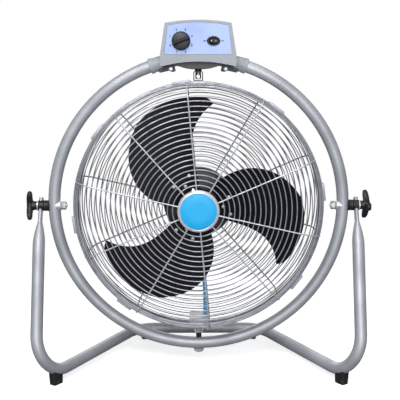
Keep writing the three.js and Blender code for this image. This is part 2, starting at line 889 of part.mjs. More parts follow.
function leadingEdge(share) {
  return -26.8 - 49 * (share - 0.38) ** 2;
}

// The blade surface: forward of the rivet plane it rises with the arc from the root line.
function bladeForward(radius, angle) {
  const share = (radius - bladeRoot) / (bladeTip - bladeRoot);
  const pitch = mix(bladePitchRoot, bladePitchTip, share);
  const arc = radius * degrees(angle);
  const camber = 5 * Math.cos(degrees(angle) * 1.6);
  return bladePlane - 5 + camber + pitch * arc;
}

function bladePoint(radius, angle, offset) {
  const turn = degrees(angle);
  return [
    radius * Math.cos(turn),
    -(bladeForward(radius, angle) + offset),
    radius * Math.sin(turn),
  ];
}

function blade() {
  const radialSteps = 8;
  const chordSteps = 6;
  const geometry = new THREE.BoxGeometry(1, 1, 1, radialSteps, chordSteps, 1);
  warp(geometry, (point) => {
    const [u, v] = [point.x + 0.5, point.y + 0.5];
    const cornerRound = 0.075 * Math.abs(2 * v - 1) ** 4;
    const share = u * (1 - cornerRound);
    const angle = mix(leadingEdge(share), trailingEdge(share), v);
    const radius = mix(bladeRoot, bladeTip, share);
    const offset = point.z * bladeThickness;
    point.set(...bladePoint(radius, angle, offset));
  });
  return solid(geometry);
}

// Spider: a pressed hub plate with an arm behind each blade root, on a bored boss.
function spiderArm() {
  const geometry = new THREE.BoxGeometry(1, 1, 1, 2, 2, 1);
  const behind = bladeThickness / 2 + gap + spiderThickness / 2;
  const inner = spiderHubRadius - 12;
  warp(geometry, (point) => {
    const [u, v] = [point.x + 0.5, point.y];
    const radius = mix(inner, spiderArmReach, u);
    const halfWidth = mix(23, 19, u) * (1 - 0.35 * Math.max(0, u - 0.8) * Math.abs(v) * 4);
    const angle = THREE.MathUtils.radToDeg((v * 2 * halfWidth) / radius);
    point.set(...bladePoint(radius, angle, -behind + point.z * spiderThickness));
  });
  return solid(geometry);
}

function spider() {
  const back = bladePlane - 14;
  const face = bladePlane - 5;
  const bore = shaftDiameter / 2 + gap;
  const hub = turned([
    [bore, back - 12],
    [hubBossRadius, back - 12],
    [hubBossRadius, back],
    [spiderHubRadius, face - 6],
    [spiderHubRadius, face - 2],
    [hubBossRadius, face],
    [bore, face],
  ], 12);
  const arms = [];
  for (let i = 0; i < bladeCount; i += 1) {
    arms.push(spiderArm().rotate([0, -(bladePhase + (i * 360) / bladeCount), 0]));
  }
  return join([hub, ...arms]);
}

function rotorShaft() {
  const radius = shaftDiameter / 2;
  const core = statorBore - 1;
  const coreFront = motorFront - 22;
  const coreRear = motorRear + 22;
  return turned([
    [0, motorRear + 6],
    [radius, motorRear + 6],
    [radius, coreRear - 4],
    [radius + 2, coreRear - 4],
    [radius + 2, coreRear],
    [core, coreRear],
    [core, coreFront],
    [radius + 2, coreFront],
    [radius + 2, coreFront + 4],
    [radius, coreFront + 4],
    [radius, shaftFront],
    [0, shaftFront],
  ], 12);
}

function hubNut() {
  const back = bladePlane - 5 + gap;
  const bore = (shaftDiameter / 2 + gap) / Math.cos(Math.PI / 6);
  return turned([
    [bore, back],
    [13, back],
    [13, back + 2],
    [11, back + 3],
    [11, shaftFront - 4],
    [9, shaftFront - 1],
    [bore, shaftFront - 1],
  ], 6);
}

// ---------------------------------------------------------------- motor
const shaftHole = shaftDiameter / 2 + 1.5;

function roundedShoulder(radius, end, sign, inset) {
  const points = [];
  const round = motorShoulder - inset;
  for (let step = 0; step <= 2; step += 1) {
    const angle = (step / 2) * (Math.PI / 2);
    const across = radius - motorShoulder + round * Math.cos(angle);
    points.push([across, end - sign * (motorShoulder - round * Math.sin(angle))]);
  }
  return points;
}

function motorFrontShell() {
  const seat = bearingRadius + gap;
  const seatBottom = motorFront - motorWall;
  const outside = [
    [motorRadius - motorWall, rearGuardPlane + gap],
    [motorRadius, rearGuardPlane + gap],
    ...roundedShoulder(motorRadius, motorFront - 4, 1, 0),
    [seat + 10, motorFront - 4],
    [seat + 7, motorFront],
    [shaftHole, motorFront],
    [shaftHole, seatBottom],
    [seat, seatBottom],
    [seat, seatBottom - bearingWidth],
    [seat + 4, seatBottom - bearingWidth],
    [seat + 6, motorFront - 4 - motorWall],
  ];
  const inside = roundedShoulder(motorRadius, motorFront - 4, 1, motorWall).reverse();
  return turned([...outside, ...inside], motorSteps);
}

function motorRearShell() {
  const front = rearGuardPlane - mountPlateThickness - gap;
  const seat = bearingRadius + gap;
  const seatBottom = motorRear + motorWall;
  const shell = turned([
    [motorRearRadius - motorWall, front],
    [motorFlange, front],
    [motorFlange, front - 3],
    [motorRearRadius, front - 3],
    ...roundedShoulder(motorRearRadius, motorRear, -1, 0),
    [0, motorRear],
    [0, seatBottom],
    [seat, seatBottom],
    [seat, seatBottom + bearingWidth],
    [seat + 4, seatBottom + bearingWidth],
    [seat + 6, motorRear + motorWall],
    ...roundedShoulder(motorRearRadius, motorRear, -1, motorWall).reverse(),
  ], motorSteps);
  const slots = [];
  const slotLength = 26;
  const slotMiddle = (seat + 8 + motorRearRadius - motorShoulder) / 2;
  for (let i = 0; i < ventCount; i += 1) {
    const slot = box(slotLength, motorWall * 4, 5, slotMiddle, -motorRear, 0);
    slots.push(slot.rotate([0, (i * 360) / ventCount, 0]));
  }
  return shell.subtract(join(slots));
}

function stator() {
  const outer = (motorRearRadius - motorWall) * Math.cos(Math.PI / motorSteps) - gap;
  const front = motorFront - 18;
  const rear = motorRear + 18;
  return turned([
    [statorBore, rear + 8],
    [statorBore + 6, rear],
    [outer - 8, rear],
    [outer - 6, rear + 8],
    [outer, rear + 8],
    [outer, front - 8],
    [outer - 6, front - 8],
    [outer - 8, front],
    [statorBore + 6, front],
    [statorBore, front - 8],
  ], motorSteps);
}

function bearing(rear) {
  const bore = shaftDiameter / 2 + gap;
  const front = rear + bearingWidth - gap;
  return turned([[bore, rear], [bearingRadius, rear], [bearingRadius, front], [bore, front]], motorSteps);
}

// ---------------------------------------------------------------- head carriers
// Joggled strap: flat on the inside of the band, then inside the rear guard's side.
function strap(up) {
  const seat = Math.sqrt(bandBore ** 2 - (strapWidth / 2) ** 2) - gap;
  const turnOut = bandRear + 8;
  const turnIn = turnOut - (seat - strapInner);
  const profile = outline([
    [bandFront - 2, seat],
    [turnOut, seat],
    [turnIn, strapInner + strapThickness],
    [strapRear, strapInner + strapThickness],
    [strapRear, strapInner],
    [turnIn - 0.7, strapInner],
    [turnOut - 0.7, seat - strapThickness],
    [bandFront - 2, seat - strapThickness],
  ]);
  const geometry = new THREE.ExtrudeGeometry(profile, { depth: strapWidth, bevelEnabled: false });
  geometry.translate(0, 0, -strapWidth / 2);
  geometry.applyMatrix4(new THREE.Matrix4().makeBasis(
    new THREE.Vector3(0, -1, 0),
    new THREE.Vector3(0, 0, up),
    new THREE.Vector3(-up, 0, 0),
  ));
  return solid(geometry);
}

// Pivot bracket: a short box channel, open to the front and back, with rounded shoulders.
function pivotBracket(up) {
  const half = bracketWidth / 2;
  const foot = bandRadius + gap;
  const shape = outline([
    [-half, foot],
    [half, foot],
    [half, bracketTop - 3],
    [half - 3, bracketTop],
    [-half + 3, bracketTop],
    [-half, bracketTop - 3],
  ]);
  const inner = half - bracketWall;
  const innerTop = bracketTop - bracketWall;
  shape.holes.push(outline([
    [-inner, foot + bracketWall],
    [-inner, innerTop - 1],
    [-inner + 1, innerTop],
    [inner - 1, innerTop],
    [inner, innerTop - 1],
    [inner, foot + bracketWall],
  ]));
  const channel = slab(shape, bracketDepth, bracketDepth / 2);
  const turnedUp = up > 0 ? channel : channel.rotate([0, 180, 0]);
  const radius = up > 0 ? pivotShaftDiameter / 2 + gap : studHole;
  const from = [0, 0, up * (innerTop - 2)];
  return turnedUp.subtract(bar(radius, from, [0, 0, up * (bracketTop + 2)], 14));
}

// Swing shaft: pinned in the top bracket, it runs through the ring into the control box.
const shaftTop = ringOutside + 10;

function swingShaft() {
  const foot = bandRadius + gap + bracketWall + 2;
  const radius = pivotShaftDiameter / 2;
  const shaft = bar(radius, [0, 0, foot], [0, 0, shaftTop], 14);
  const pinHeight = foot + 4.5;
  const front = -bracketDepth / 2 + 4;
  const shank = bar(3, [0, front, pinHeight], [0, bracketDepth / 2 - 3, pinHeight], 10);
  const head = bar(5.6, [0, front - 3, pinHeight], [0, front, pinHeight], 14);
  return join([shaft, shank, head]);
}

function bottomBolt() {
  const radius = studDiameter / 2;
  const underside = -ringOutside - gap;
  const top = -(bandRadius + gap + bracketWall + 3);
  const dome = [[0, 0], [radius, 0], [11, 0], [11, 3], [8, 6.5], [4, 8], [0, 8.2]];
  const head = turnedAbout(zAxis.clone().negate(), dome, bushSides).translate([0, 0, underside]);
  return head.add(bar(radius, [0, 0, underside - 1], [0, 0, top], 12));
}

function bottomNut() {
  const floor = -(bracketTop - bracketWall - gap);
  return hexNut(zAxis, [0, 0, floor], 13, 7, studHole);
}

function bottomSpacer() {
  const from = -ringInside + gap;
  const to = -(bracketTop + gap);
  const profile = [[studHole, from], [5.8, from], [5.8, to], [studHole, to]];
  return turnedAbout(zAxis, profile, bushSides).subtract(ringEnvelope());
}

// The motor lead: down from the motor, through a notch in the bottom strap, and forward
// under the guard into the lower pivot bracket.
const leadNotch = { x: 15, forward: -40 };

function leadStations() {
  const exit = motorFront - 20;
  const below = -(bandRadius + gap + leadDiameter * 0.9);
  const corners = [
    [9, -exit, -motorRadius - gap],
    [9, -exit, -motorRadius - 30],
    [leadNotch.x, -leadNotch.forward, -strapInner + 36],
    [leadNotch.x, -leadNotch.forward, below],
    [2, bracketDepth / 2 - 1, below],
  ];
  return bentStations(corners, [30, 30, leadDiameter * 0.75], 3);
}

function motorLead() {
  return solid(sweptGeometry(circleShape(leadDiameter / 2, 8), leadStations()));
}

function bottomStrap() {
  const [x, y] = [leadNotch.x, -leadNotch.forward];
  const from = [x, y, -strapInner + 3];
  const notch = bar(leadDiameter / 2 + 1, from, [x, y, -strapInner - 5], 10);
  return strap(-1).subtract(notch);
}

// ---------------------------------------------------------------- control box
// Front outline of the box: arched lid, sloping sides, lower edge round the ring centre.
function boxOutline(inset) {
  const foot = boxBottomWidth / 2 - inset;
  const top = boxTopWidth / 2 - inset;
  const skirt = skirtRadius + inset;
  const corner = boxCorner - inset;
  const crown = boxCrown - inset;
  const shape = new THREE.Shape();
  const skirtAngle = Math.asin(foot / skirt);
  shape.moveTo(top, corner);
  shape.quadraticCurveTo(0, 2 * crown - corner, -top, corner);
  shape.lineTo(-foot, boxPanelFoot);
  shape.absarc(0, 0, skirt, Math.PI / 2 + skirtAngle, Math.PI / 2 - skirtAngle, true);
  shape.lineTo(foot, boxPanelFoot);
  return shape;
}

// The lid falls towards the back.
function dropBack(geometry) {
  return warp(geometry, (point) => {
    const rise = Math.max(point.z - boxPanelFoot, 0);
    const back = (point.y - boxFrontY) / boxDepth;
    point.z -= rise * boxBackDrop * back;
  });
}

function boxBody(inset) {
  const depth = boxDepth - 2 * inset;
  const options = { depth, bevelEnabled: false, curveSegments: 5 };
  const geometry = new THREE.ExtrudeGeometry(boxOutline(inset), options);
  geometry.rotateX(Math.PI / 2).translate(0, depth / 2, 0);
  return solid(dropBack(geometry));
}

// Collars carry the box along the ring tube on both sides.
function arcStations(from, to, steps) {
  const stations = [];
  for (let i = 0; i <= steps; i += 1) {
    const angle = degrees(90 + mix(from, to, i / steps));
    stations.push({
      point: new THREE.Vector3(Math.cos(angle), 0, Math.sin(angle)).multiplyScalar(ringRadius),
      tangent: new THREE.Vector3(-Math.sin(angle), 0, Math.cos(angle)),
    });
  }
  return stations;
}

function collar(from, to, radius) {
  return solid(sweptGeometry(circleShape(radius, 10), arcStations(from, to, 2)));
}

function collars() {
  const sleeve = tubeRadius + gap + collarWall;
  const lip = 1.6;
  const boxSide = THREE.MathUtils.radToDeg(Math.asin(boxBottomWidth / 2 / ringRadius)) - 0.5;
  return join([-1, 1].flatMap((side) => [
    collar(side * boxSide, side * collarAngle, sleeve),
    collar(side * (collarAngle - lip), side * collarAngle, sleeve + 0.9),
  ]));
}

function panelOutline(inset) {
  const foot = boxBottomWidth / 2 - panelMargin - inset;
  const top = boxTopWidth / 2 - panelTopMargin - inset;
  const corner = boxCorner - panelTopMargin - inset;
  const crown = boxCrown - panelTopMargin - inset;
  const shape = new THREE.Shape();
  shape.moveTo(top, corner);
  shape.quadraticCurveTo(0, 2 * crown - corner, -top, corner);
  shape.lineTo(-foot, boxPanelFoot + inset);
  shape.lineTo(foot, boxPanelFoot + inset);
  return shape;
}

function shellHalf(front) {
  const cavity = boxBody(boxWall);
  const recessDepth = panelThickness + gap;
  const recess = slab(panelOutline(0), recessDepth + 1, panelFaceY + recessDepth);
  const holes = [
    bar(7, [speedKnobX, boxFrontY - 2, controlsHeight], [speedKnobX, 0, controlsHeight], 14),
    rockerWell(1.2, boxWall * 3, boxFrontY + boxWall + 2),
  ];
  const coverSpace = bottomCoverBody(gap);
  const side = front ? -1 : 1;
  const halfway = side * (boxDepth / 2 + gap / 2);
  const keep = box(3 * boxBottomWidth, boxDepth, 2 * ringRadius, 0, halfway, ringRadius);
  const tube = ringEnvelope();
  const clampSpaces = join([-1, 1].map((end) => clampBlock(end, gap)));
  const outside = boxBody(0).add(collars().subtract(clampSpaces));
  const whole = outside.subtract(cavity).subtract(tube).subtract(coverSpace);
  const half = whole.intersect(keep);
  return front ? half.subtract(recess).subtract(join(holes)) : half;
}

function rockerWell(clearance, depth, backY) {
  const [width, height] = [rockerWidth - 6, rockerHeight - 4.5];
  const shape = ovalShape(width + 2 * clearance, height + 2 * clearance, 12);
  return slab(shape, depth, backY).translate([rockerX, 0, controlsHeight]);
}

function controlPanel() {
  const plate = slab(panelOutline(gap), panelThickness, panelFaceY + panelThickness);
  const from = [speedKnobX, boxFrontY - 2, controlsHeight];
  const hole = bar(5, from, [speedKnobX, boxFrontY + 5, controlsHeight], 14);
  return plate.subtract(hole).subtract(rockerWell(1.2, 8, boxFrontY + 4));
}

// Bottom cover: a dark boat-shaped tray round the ring and the swing shaft.
function bottomCoverBody(grow) {
  const shape = new THREE.Shape();
  const half = coverHalfWidth + grow;
  const rim = skirtRadius + boxWall + grow;
  const rimEdge = Math.sqrt(rim ** 2 - half ** 2);
  const flat = coverFlatHalfWidth + grow;
  shape.moveTo(-half, rimEdge - 6);
  shape.lineTo(-flat, coverBottom + 1.6 - grow);
  shape.lineTo(-flat / 2, coverBottom - grow);
  shape.lineTo(flat / 2, coverBottom - grow);
  shape.lineTo(flat, coverBottom + 1.6 - grow);
  shape.lineTo(half, rimEdge - 6);
  shape.lineTo(half, rimEdge);
  shape.lineTo(0, rim);
  shape.lineTo(-half, rimEdge);
  return slab(shape, coverDepth + 2 * grow, coverDepth / 2 + grow);
}

function bottomCover() {
  const shaft = bar(pivotShaftDiameter / 2 + 2, [0, 0, coverBottom - 5], [0, 0, ringRadius], 12);
  const clamps = [-1, 1].map((side) => clampBlock(side, gap));
  return bottomCoverBody(0).subtract(ringEnvelope()).subtract(shaft).subtract(join(clamps));
}

function topBush() {
  const radius = pivotShaftDiameter / 2 + runningGap;
  const [from, to] = [bracketTop + gap, ringInside];
  const profile = [[radius, from], [7.4, from], [7.4, to], [radius, to]];
  return turnedAbout(zAxis, profile, bushSides).subtract(ringEnvelope());
}

// Clamp under each end of the box: a saddle block with an ear for its screw.
const clampWidth = 34;
const clampDrop = 6; // below the ring tube
const clampDepth = 22;

function clampBlock(side, grow) {
  const half = clampWidth / 2 + grow;
  const drop = clampDrop + grow;
  const top = 4;
  const ear = { reach: 9, drop: 4 };
  const block = outline([
    [-half, top],
    [-half, -drop + 2],
    [-half + 2, -drop],
    [half - ear.reach, -drop],
    [half - ear.reach, -drop - ear.drop + 1],
    [half - ear.reach + 1, -drop - ear.drop],
    [half - 1, -drop - ear.drop],
    [half, -drop - ear.drop + 1],
    [half, top],
  ]);
  const depth = clampDepth + 2 * grow;
  const geometry = new THREE.ExtrudeGeometry(block, { depth, bevelEnabled: false });
  geometry.rotateX(Math.PI / 2).translate(0, depth / 2, 0);
  if (side > 0) geometry.applyMatrix4(new THREE.Matrix4().makeScale(-1, 1, 1));
  geometry.translate(0, 0, ringInside).rotateY(degrees(side * clampAngle));
  return solid(geometry);
}

function boxClamp(side) {
  return clampBlock(side, 0).subtract(ringEnvelope()).subtract(boxBody(-gap));
}

// ---------------------------------------------------------------- controls
function speedKnob() {
  const back = -boxFrontY + gap;
  const front = back + speedKnobDepth;
  const stem = 3.5;
  const cap = turned([
    [0, back - 16],
    [stem, back - 16],
    [stem, back],
    [speedKnobRadius, back],
    [speedKnobRadius, back + 3],
    [speedKnobRadius - 1, back + 4],
    [speedKnobRadius - 2.5, front - 6],
    [speedKnobRadius - 4, front - 5],
    [0, front - 5],
  ], 16);
  const grip = new THREE.BoxGeometry(2 * speedKnobRadius - 5, 6, 9);
  warp(grip, (point) => {
    if (point.y < 0) point.z *= 0.55;
  });
  grip.translate(0, -(front - 3), 0).rotateY(degrees(-speedKnobRest));
  return cap.add(solid(grip)).translate([speedKnobX, 0, controlsHeight]);
}

function speedSwitch() {
  const back = boxFrontY + panelThickness + boxWall + 1;
  const body = box(26, 18, 26, speedKnobX, back + 9, controlsHeight);
  const bushing = bar(4.8, [speedKnobX, back - 4, controlsHeight], [speedKnobX, back, controlsHeight]);
  const bore = [speedKnobX, back - 6, controlsHeight];
  const hole = bar(3.5 + runningGap, bore, [speedKnobX, back + 14, controlsHeight], 16);
  return body.add(bushing).subtract(hole);
}

function rockerFrame() {
  const back = boxFrontY - gap;
  const lip = slab(ovalShape(rockerWidth, rockerHeight, 18), 2.2, back);
  const well = slab(ovalShape(rockerWidth - 5, rockerHeight - 3.5, 14), 14, boxFrontY + 14 - 2.2);
  const inner = slab(ovalShape(rockerWidth - 8, rockerHeight - 6.5, 14), 14, boxFrontY + 10);
  return lip.add(well).subtract(inner).translate([rockerX, 0, controlsHeight]);
}

function rockerCap() {
  const width = rockerWidth - 9.5;
  const height = rockerHeight - 8;
  const shape = ovalShape(width, height, 14);
  const geometry = new THREE.ExtrudeGeometry(shape, { depth: 9, bevelEnabled: false, steps: 1 });
  geometry.rotateX(Math.PI / 2).translate(0, 4, 0);
  warp(geometry, (point) => {
    if (point.y < 0) point.y -= 1.4 * Math.abs(point.x / (width / 2)) - 0.4;
  });
  geometry.rotateZ(degrees(rockerRest));
  return solid(geometry).translate([rockerX, boxFrontY + 1.5, controlsHeight]);
}

// Swing motor: a flat geared motor over the ring, its output on the swing shaft.
function swingMotor() {
  const bottom = shaftTop + 2;
  const profile = [[0, bottom], [24, bottom], [24, bottom + 18], [20, bottom + 20]];
  profile.push([0, bottom + 20]);
  const can = turnedAbout(zAxis, profile, 14);
  const bore = bar(4 + gap, [0, 0, bottom - 1], [0, 0, bottom + 8], 12);
  return can.subtract(bore);
}

function shaftCoupling() {
  const radius = pivotShaftDiameter / 2;
  const foot = ringOutside + 1;
  const profile = [[radius + gap, foot], [radius + 3.5, foot], [radius + 3.5, shaftTop + 1.5]];
  profile.push([4, shaftTop + 1.5], [4, shaftTop + 8], [0, shaftTop + 8], [0, shaftTop + gap]);
  profile.push([radius + gap, shaftTop + gap]);
  return turnedAbout(zAxis, profile, bushSides);
}

function capacitor() {
  const [width, depth, height] = [34, 16, 22];
  const back = boxDepth / 2 - boxWall - gap;
  return box(width, depth, height, 38, back - depth / 2, controlsHeight - 10);
}

// ---------------------------------------------------------------- assembly
const fan = new THREE.Group();

function add(name, manifold, material) {
  const mesh = new THREE.Mesh(geometryOf(manifold), material);
  mesh.name = name;
  fan.add(mesh);
}

const feetTool = feetCutter();
add('stand_tube', standTube(), silverPaint());
for (const [name, side] of [['left', -1], ['right', 1]]) {
  add(`front_foot_${name}`, footAt(footPlace(side, 0), feetTool), blackPlastic());
  add(`rear_foot_${name}`, footAt(footPlace(side, 1), feetTool), blackPlastic());
  add(`outer_bush_${name}`, outerBush(side), blackPlastic());
  add(`inner_bush_${name}`, innerBush(side), blackPlastic());
  add(`saddle_washer_${name}`, saddleWasher(side), zinc());
  add(`stud_nut_${name}`, studNut(side), zinc());
  add(`knob_washer_${name}`, knobWasher(side), zinc());
  add(`clamp_stud_${name}`, clampStud(side), zinc());
  add(`box_clamp_${name}`, boxClamp(side), darkPlastic());
}
add('clamp_knob_left', clampKnob(-1, 70), blackPlastic());
add('clamp_knob_right', clampKnob(1, 0), blackPlastic());

add('ring_tube', ringTube(), silverPaint());
add('box_front_shell', shellHalf(true), greyPlastic());
add('box_rear_shell', shellHalf(false), greyPlastic());
add('control_panel', controlPanel(), paint(0xaab9f2, 0.4, 0));
add('bottom_cover', bottomCover(), darkPlastic());
add('top_bush', topBush(), blackPlastic());
add('speed_knob', speedKnob(), blackPlastic());
add('speed_switch', speedSwitch(), darkPlastic());
add('rocker_frame', rockerFrame(), blackPlastic());
add('rocker', rockerCap(), blackPlastic());
add('swing_motor', swingMotor(), zinc());
add('run_capacitor', capacitor(), darkPlastic());
add('bottom_bolt', bottomBolt(), zinc());
add('bottom_nut', bottomNut(), zinc());
add('bottom_spacer', bottomSpacer(), blackPlastic());

add('rim_band', rimBand(), silverPaint());
add('front_guard', frontGuard(), wirePaint());
add('rear_guard', rearGuard(), wirePaint());
add('badge_rim', badgeRim(), zinc());
add('badge_disc', badgeDisc(), paint(0x2fb0ee, 0.3, 0));
add('top_strap', strap(1), silverPaint());
add('bottom_strap', bottomStrap(), silverPaint());
add('top_bracket', pivotBracket(1), zinc());
add('bottom_bracket', pivotBracket(-1), zinc());
add('swing_shaft', swingShaft(), zinc());
add('shaft_coupling', shaftCoupling(), darkPlastic());
add('motor_lead', motorLead(), paint(0x18a8d8, 0.5, 0));
add('motor_front_shell', motorFrontShell(), paint(0x4a4d52, 0.5, 0.3));
add('motor_rear_shell', motorRearShell(), paint(0x4a4d52, 0.5, 0.3));
add('stator', stator(), paint(0x6e4a2c, 0.5, 0.5));
add('front_bearing', bearing(motorFront - motorWall - bearingWidth), zinc());
add('rear_bearing', bearing(motorRear + motorWall + gap), zinc());

add('rotor_shaft', rotorShaft(), zinc());
add('hub_spider', spider(), bladePaint());
add('hub_nut', hubNut(), zinc());
for (let i = 0; i < bladeCount; i += 1) {
  const turn = [0, -(bladePhase + (i * 360) / bladeCount), 0];
  add(`blade_${i + 1}`, blade().rotate(turn), bladePaint());
}

// Stand the fan on the floor with the middle of its outline over the origin.
const outlineBox = new THREE.Box3().setFromObject(fan, true);
const middle = outlineBox.getCenter(new THREE.Vector3());
fan.position.set(-middle.x, -middle.y, -outlineBox.min.z);
fan.updateMatrixWorld(true);

export default fan;
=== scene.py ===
import json
import math

import bmesh
import bpy
from mathutils import Matrix, Quaternion, Vector


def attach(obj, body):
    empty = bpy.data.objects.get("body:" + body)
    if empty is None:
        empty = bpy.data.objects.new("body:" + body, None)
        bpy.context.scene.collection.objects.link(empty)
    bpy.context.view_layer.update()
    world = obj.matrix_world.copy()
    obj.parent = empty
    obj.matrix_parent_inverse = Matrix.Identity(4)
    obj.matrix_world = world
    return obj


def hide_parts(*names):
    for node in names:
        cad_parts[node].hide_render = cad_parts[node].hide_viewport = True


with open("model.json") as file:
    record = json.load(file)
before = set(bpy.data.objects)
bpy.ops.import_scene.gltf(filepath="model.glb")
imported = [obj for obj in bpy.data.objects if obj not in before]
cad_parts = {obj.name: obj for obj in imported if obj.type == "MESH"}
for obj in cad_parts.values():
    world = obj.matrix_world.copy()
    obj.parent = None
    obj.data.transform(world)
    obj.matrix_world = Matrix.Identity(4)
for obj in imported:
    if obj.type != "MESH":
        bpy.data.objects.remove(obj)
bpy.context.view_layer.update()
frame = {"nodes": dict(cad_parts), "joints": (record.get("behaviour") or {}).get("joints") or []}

# Studio: a sheet of white paper on the floor, four soft boxes, and the camera 1.5 m before
# the fan, 10 degrees above its axis. Lengths are in mm from the point where the tilt axis
# crosses the swing axis: across, forward and up.
pivot = Vector(next(j["pos_m"] for j in frame["joints"] if j["name"] == "tilt"))


def at(across, forward, up):
    return pivot + Vector((across, -forward, up)) / 1000


class Socket:
    """A node's output that can stand in a formula."""

    def __init__(self, graph, socket):
        self.graph, self.socket = graph, socket

    def maths(self, operation, *terms):
        return self.graph.node("ShaderNodeMath", {"operation": operation}, dict(enumerate(terms)))

    def __add__(self, other):
        return self.maths("ADD", self, other)

    __radd__ = __add__

    def __sub__(self, other):
        return self.maths("SUBTRACT", self, other)

    def __rsub__(self, other):
        return self.maths("SUBTRACT", other, self)

    def __mul__(self, other):
        return self.maths("MULTIPLY", self, other)

    __rmul__ = __mul__

    def __truediv__(self, other):
        return self.maths("DIVIDE", self, other)

    def ramp(self, low, high):
        """0 below low, 1 above high, and a smooth step between."""
        settings = {"interpolation_type": "SMOOTHSTEP"}
        return self.graph.node("ShaderNodeMapRange", settings, {0: self, 1: low, 2: high})


class Graph:
    """A node tree that is written as calls."""

    def __init__(self, tree):
        self.tree = tree

    def node(self, kind, settings=None, sockets=None, output=0):
        made = self.tree.nodes.new(kind)
        for key, value in (settings or {}).items():
            setattr(made, key, value)
        for key, value in (sockets or {}).items():
            if isinstance(value, Socket):
                self.tree.links.new(value.socket, made.inputs[key])
            else:
                made.inputs[key].default_value = value
        return None if output is None else Socket(self, made.outputs[output])

    def blend(self, share, first, second):
        """One colour that turns into another."""
        return self.node("ShaderNodeMix", {"data_type": "RGBA"}, {0: share, 6: first, 7: second}, 2)


def colour(red, green, blue):
    """A colour as it shows on screen, 0 to 255, in the shader's own scale."""
    return tuple(
        v / 12.92 / 255 if v < 10.3 else ((v / 255 + 0.055) / 1.055) ** 2.4
        for v in (red, green, blue)
    ) + (1,)


camera = bpy.data.objects.new("camera", bpy.data.cameras.new("camera"))
bpy.context.scene.collection.objects.link(camera)
bpy.context.scene.camera = camera
camera_rise, camera_away = math.radians(10), 1500
camera.location = at(0, camera_away * math.cos(camera_rise), camera_away * math.sin(camera_rise))
aim = (pivot - camera.location).to_track_quat("-Z", "Y")
camera.rotation_mode = "QUATERNION"
camera.rotation_quaternion = aim @ Quaternion((0, 0, 1), math.radians(-0.12))
frame_width, focal_length, film_width = 400, 709, 36
camera.data.sensor_width = film_width
camera.data.lens = film_width * focal_length / frame_width
camera.data.shift_x = 1.5 / frame_width
camera.data.shift_y = 5.2 / frame_width
camera.data.clip_end = 50
bpy.context.scene.view_settings.view_transform = "Standard"

world = bpy.data.worlds.new("studio")
bpy.context.scene.world = world
world.use_nodes = True
room = Graph(world.node_tree)
for old in list(world.node_tree.nodes):
    world.node_tree.nodes.remove(old)
seen = room.node("ShaderNodeLightPath")
direct = Socket(room, seen.socket.node.outputs["Is Camera Ray"])
through = Socket(room, seen.socket.node.outputs["Is Transmission Ray"])
white_wall = room.node("ShaderNodeBackground", {}, {"Color": (1, 1, 1, 1), "Strength": 1.0})
dim_wall = room.node("ShaderNodeBackground", {}, {"Color": (0.93, 0.95, 1, 1), "Strength": 0.25})
wall = room.node("ShaderNodeMixShader", {}, {0: direct + through, 1: dim_wall, 2: white_wall})
room.node("ShaderNodeOutputWorld", {}, {"Surface": wall}, None)

paper_mesh = bpy.data.meshes.new("paper")
paper_corners = [(-9, -9, 0), (9, -9, 0), (9, 9, 0), (-9, 9, 0)]
paper_mesh.from_pydata(paper_corners, [], [(0, 1, 2, 3)])
paper = bpy.data.objects.new("paper", paper_mesh)
bpy.context.scene.collection.objects.link(paper)
paper_look = bpy.data.materials.new("paper")
paper_look.use_nodes = True
sheet = Graph(paper_look.node_tree)
matt = paper_look.node_tree.nodes["Principled BSDF"]
matt.inputs["Roughness"].default_value = 0.9
rays = sheet.node("ShaderNodeLightPath")
tone = sheet.blend(rays, colour(120, 122, 126), (0.9, 0.9, 0.9, 1))
sheet.tree.links.new(tone.socket, matt.inputs["Base Color"])
spot = sheet.node("ShaderNodeTexCoord", output="Object")
away = sheet.node("ShaderNodeVectorMath", {"operation": "LENGTH"}, {0: spot}, "Value")
far = away.ramp(0.45, 1.1)
lift = sheet.node("ShaderNodeEmission", {}, {"Color": (1, 1, 1, 1), "Strength": rays * 0.55})
laid = sheet.node("ShaderNodeAddShader", {}, {0: Socket(sheet, matt.outputs[0]), 1: lift})
glow = sheet.node("ShaderNodeEmission", {}, {"Color": (1, 1, 1, 1), "Strength": 1.0})
laid = sheet.node("ShaderNodeMixShader", {}, {0: far * rays, 1: laid, 2: glow})
sheet.tree.links.new(laid.socket, sheet.tree.nodes["Material Output"].inputs["Surface"])
paper_mesh.materials.append(paper_look)


def soft_box(name, place, width, height, power):
    lamp = bpy.data.lights.new(name, "AREA")
    lamp.shape = "RECTANGLE"
    lamp.size, lamp.size_y, lamp.energy = width, height, power
    box = bpy.data.objects.new(name, lamp)
    box.location = Vector(place)
    box.rotation_mode = "QUATERNION"
    box.rotation_quaternion = (pivot - box.location).to_track_quat("-Z", "Y")
    bpy.context.scene.collection.objects.link(box)


soft_box("key", (-0.6, -2.2, 2.3), 2.4, 1.2, 58)
soft_box("front", (0.25, -2.9, 0.9), 1.8, 1.6, 34)
soft_box("back", (-0.5, 3.0, 1.3), 3.2, 1.8, 40)
soft_box("top", (0.3, -0.7, 2.9), 1.8, 1.2, 16)

# Floor stand: one length of 25 mm steel tube, bent into a U on the floor with a leg at
# each end, both leg ends pressed flat for the pivot studs. Silver-grey powder coat.
tube = 25
leg_across, leg_forward, floor_level = 333, 157, -330
leg_lean = leg_forward / -floor_level
front_corner, rear_corner, rear_reach = 323.4, 147.5, 163.3
bend_radius = 65
flat_top, flat_foot, flat_taper = 15, -32, 45
flat_thickness, flat_width = 9, 15


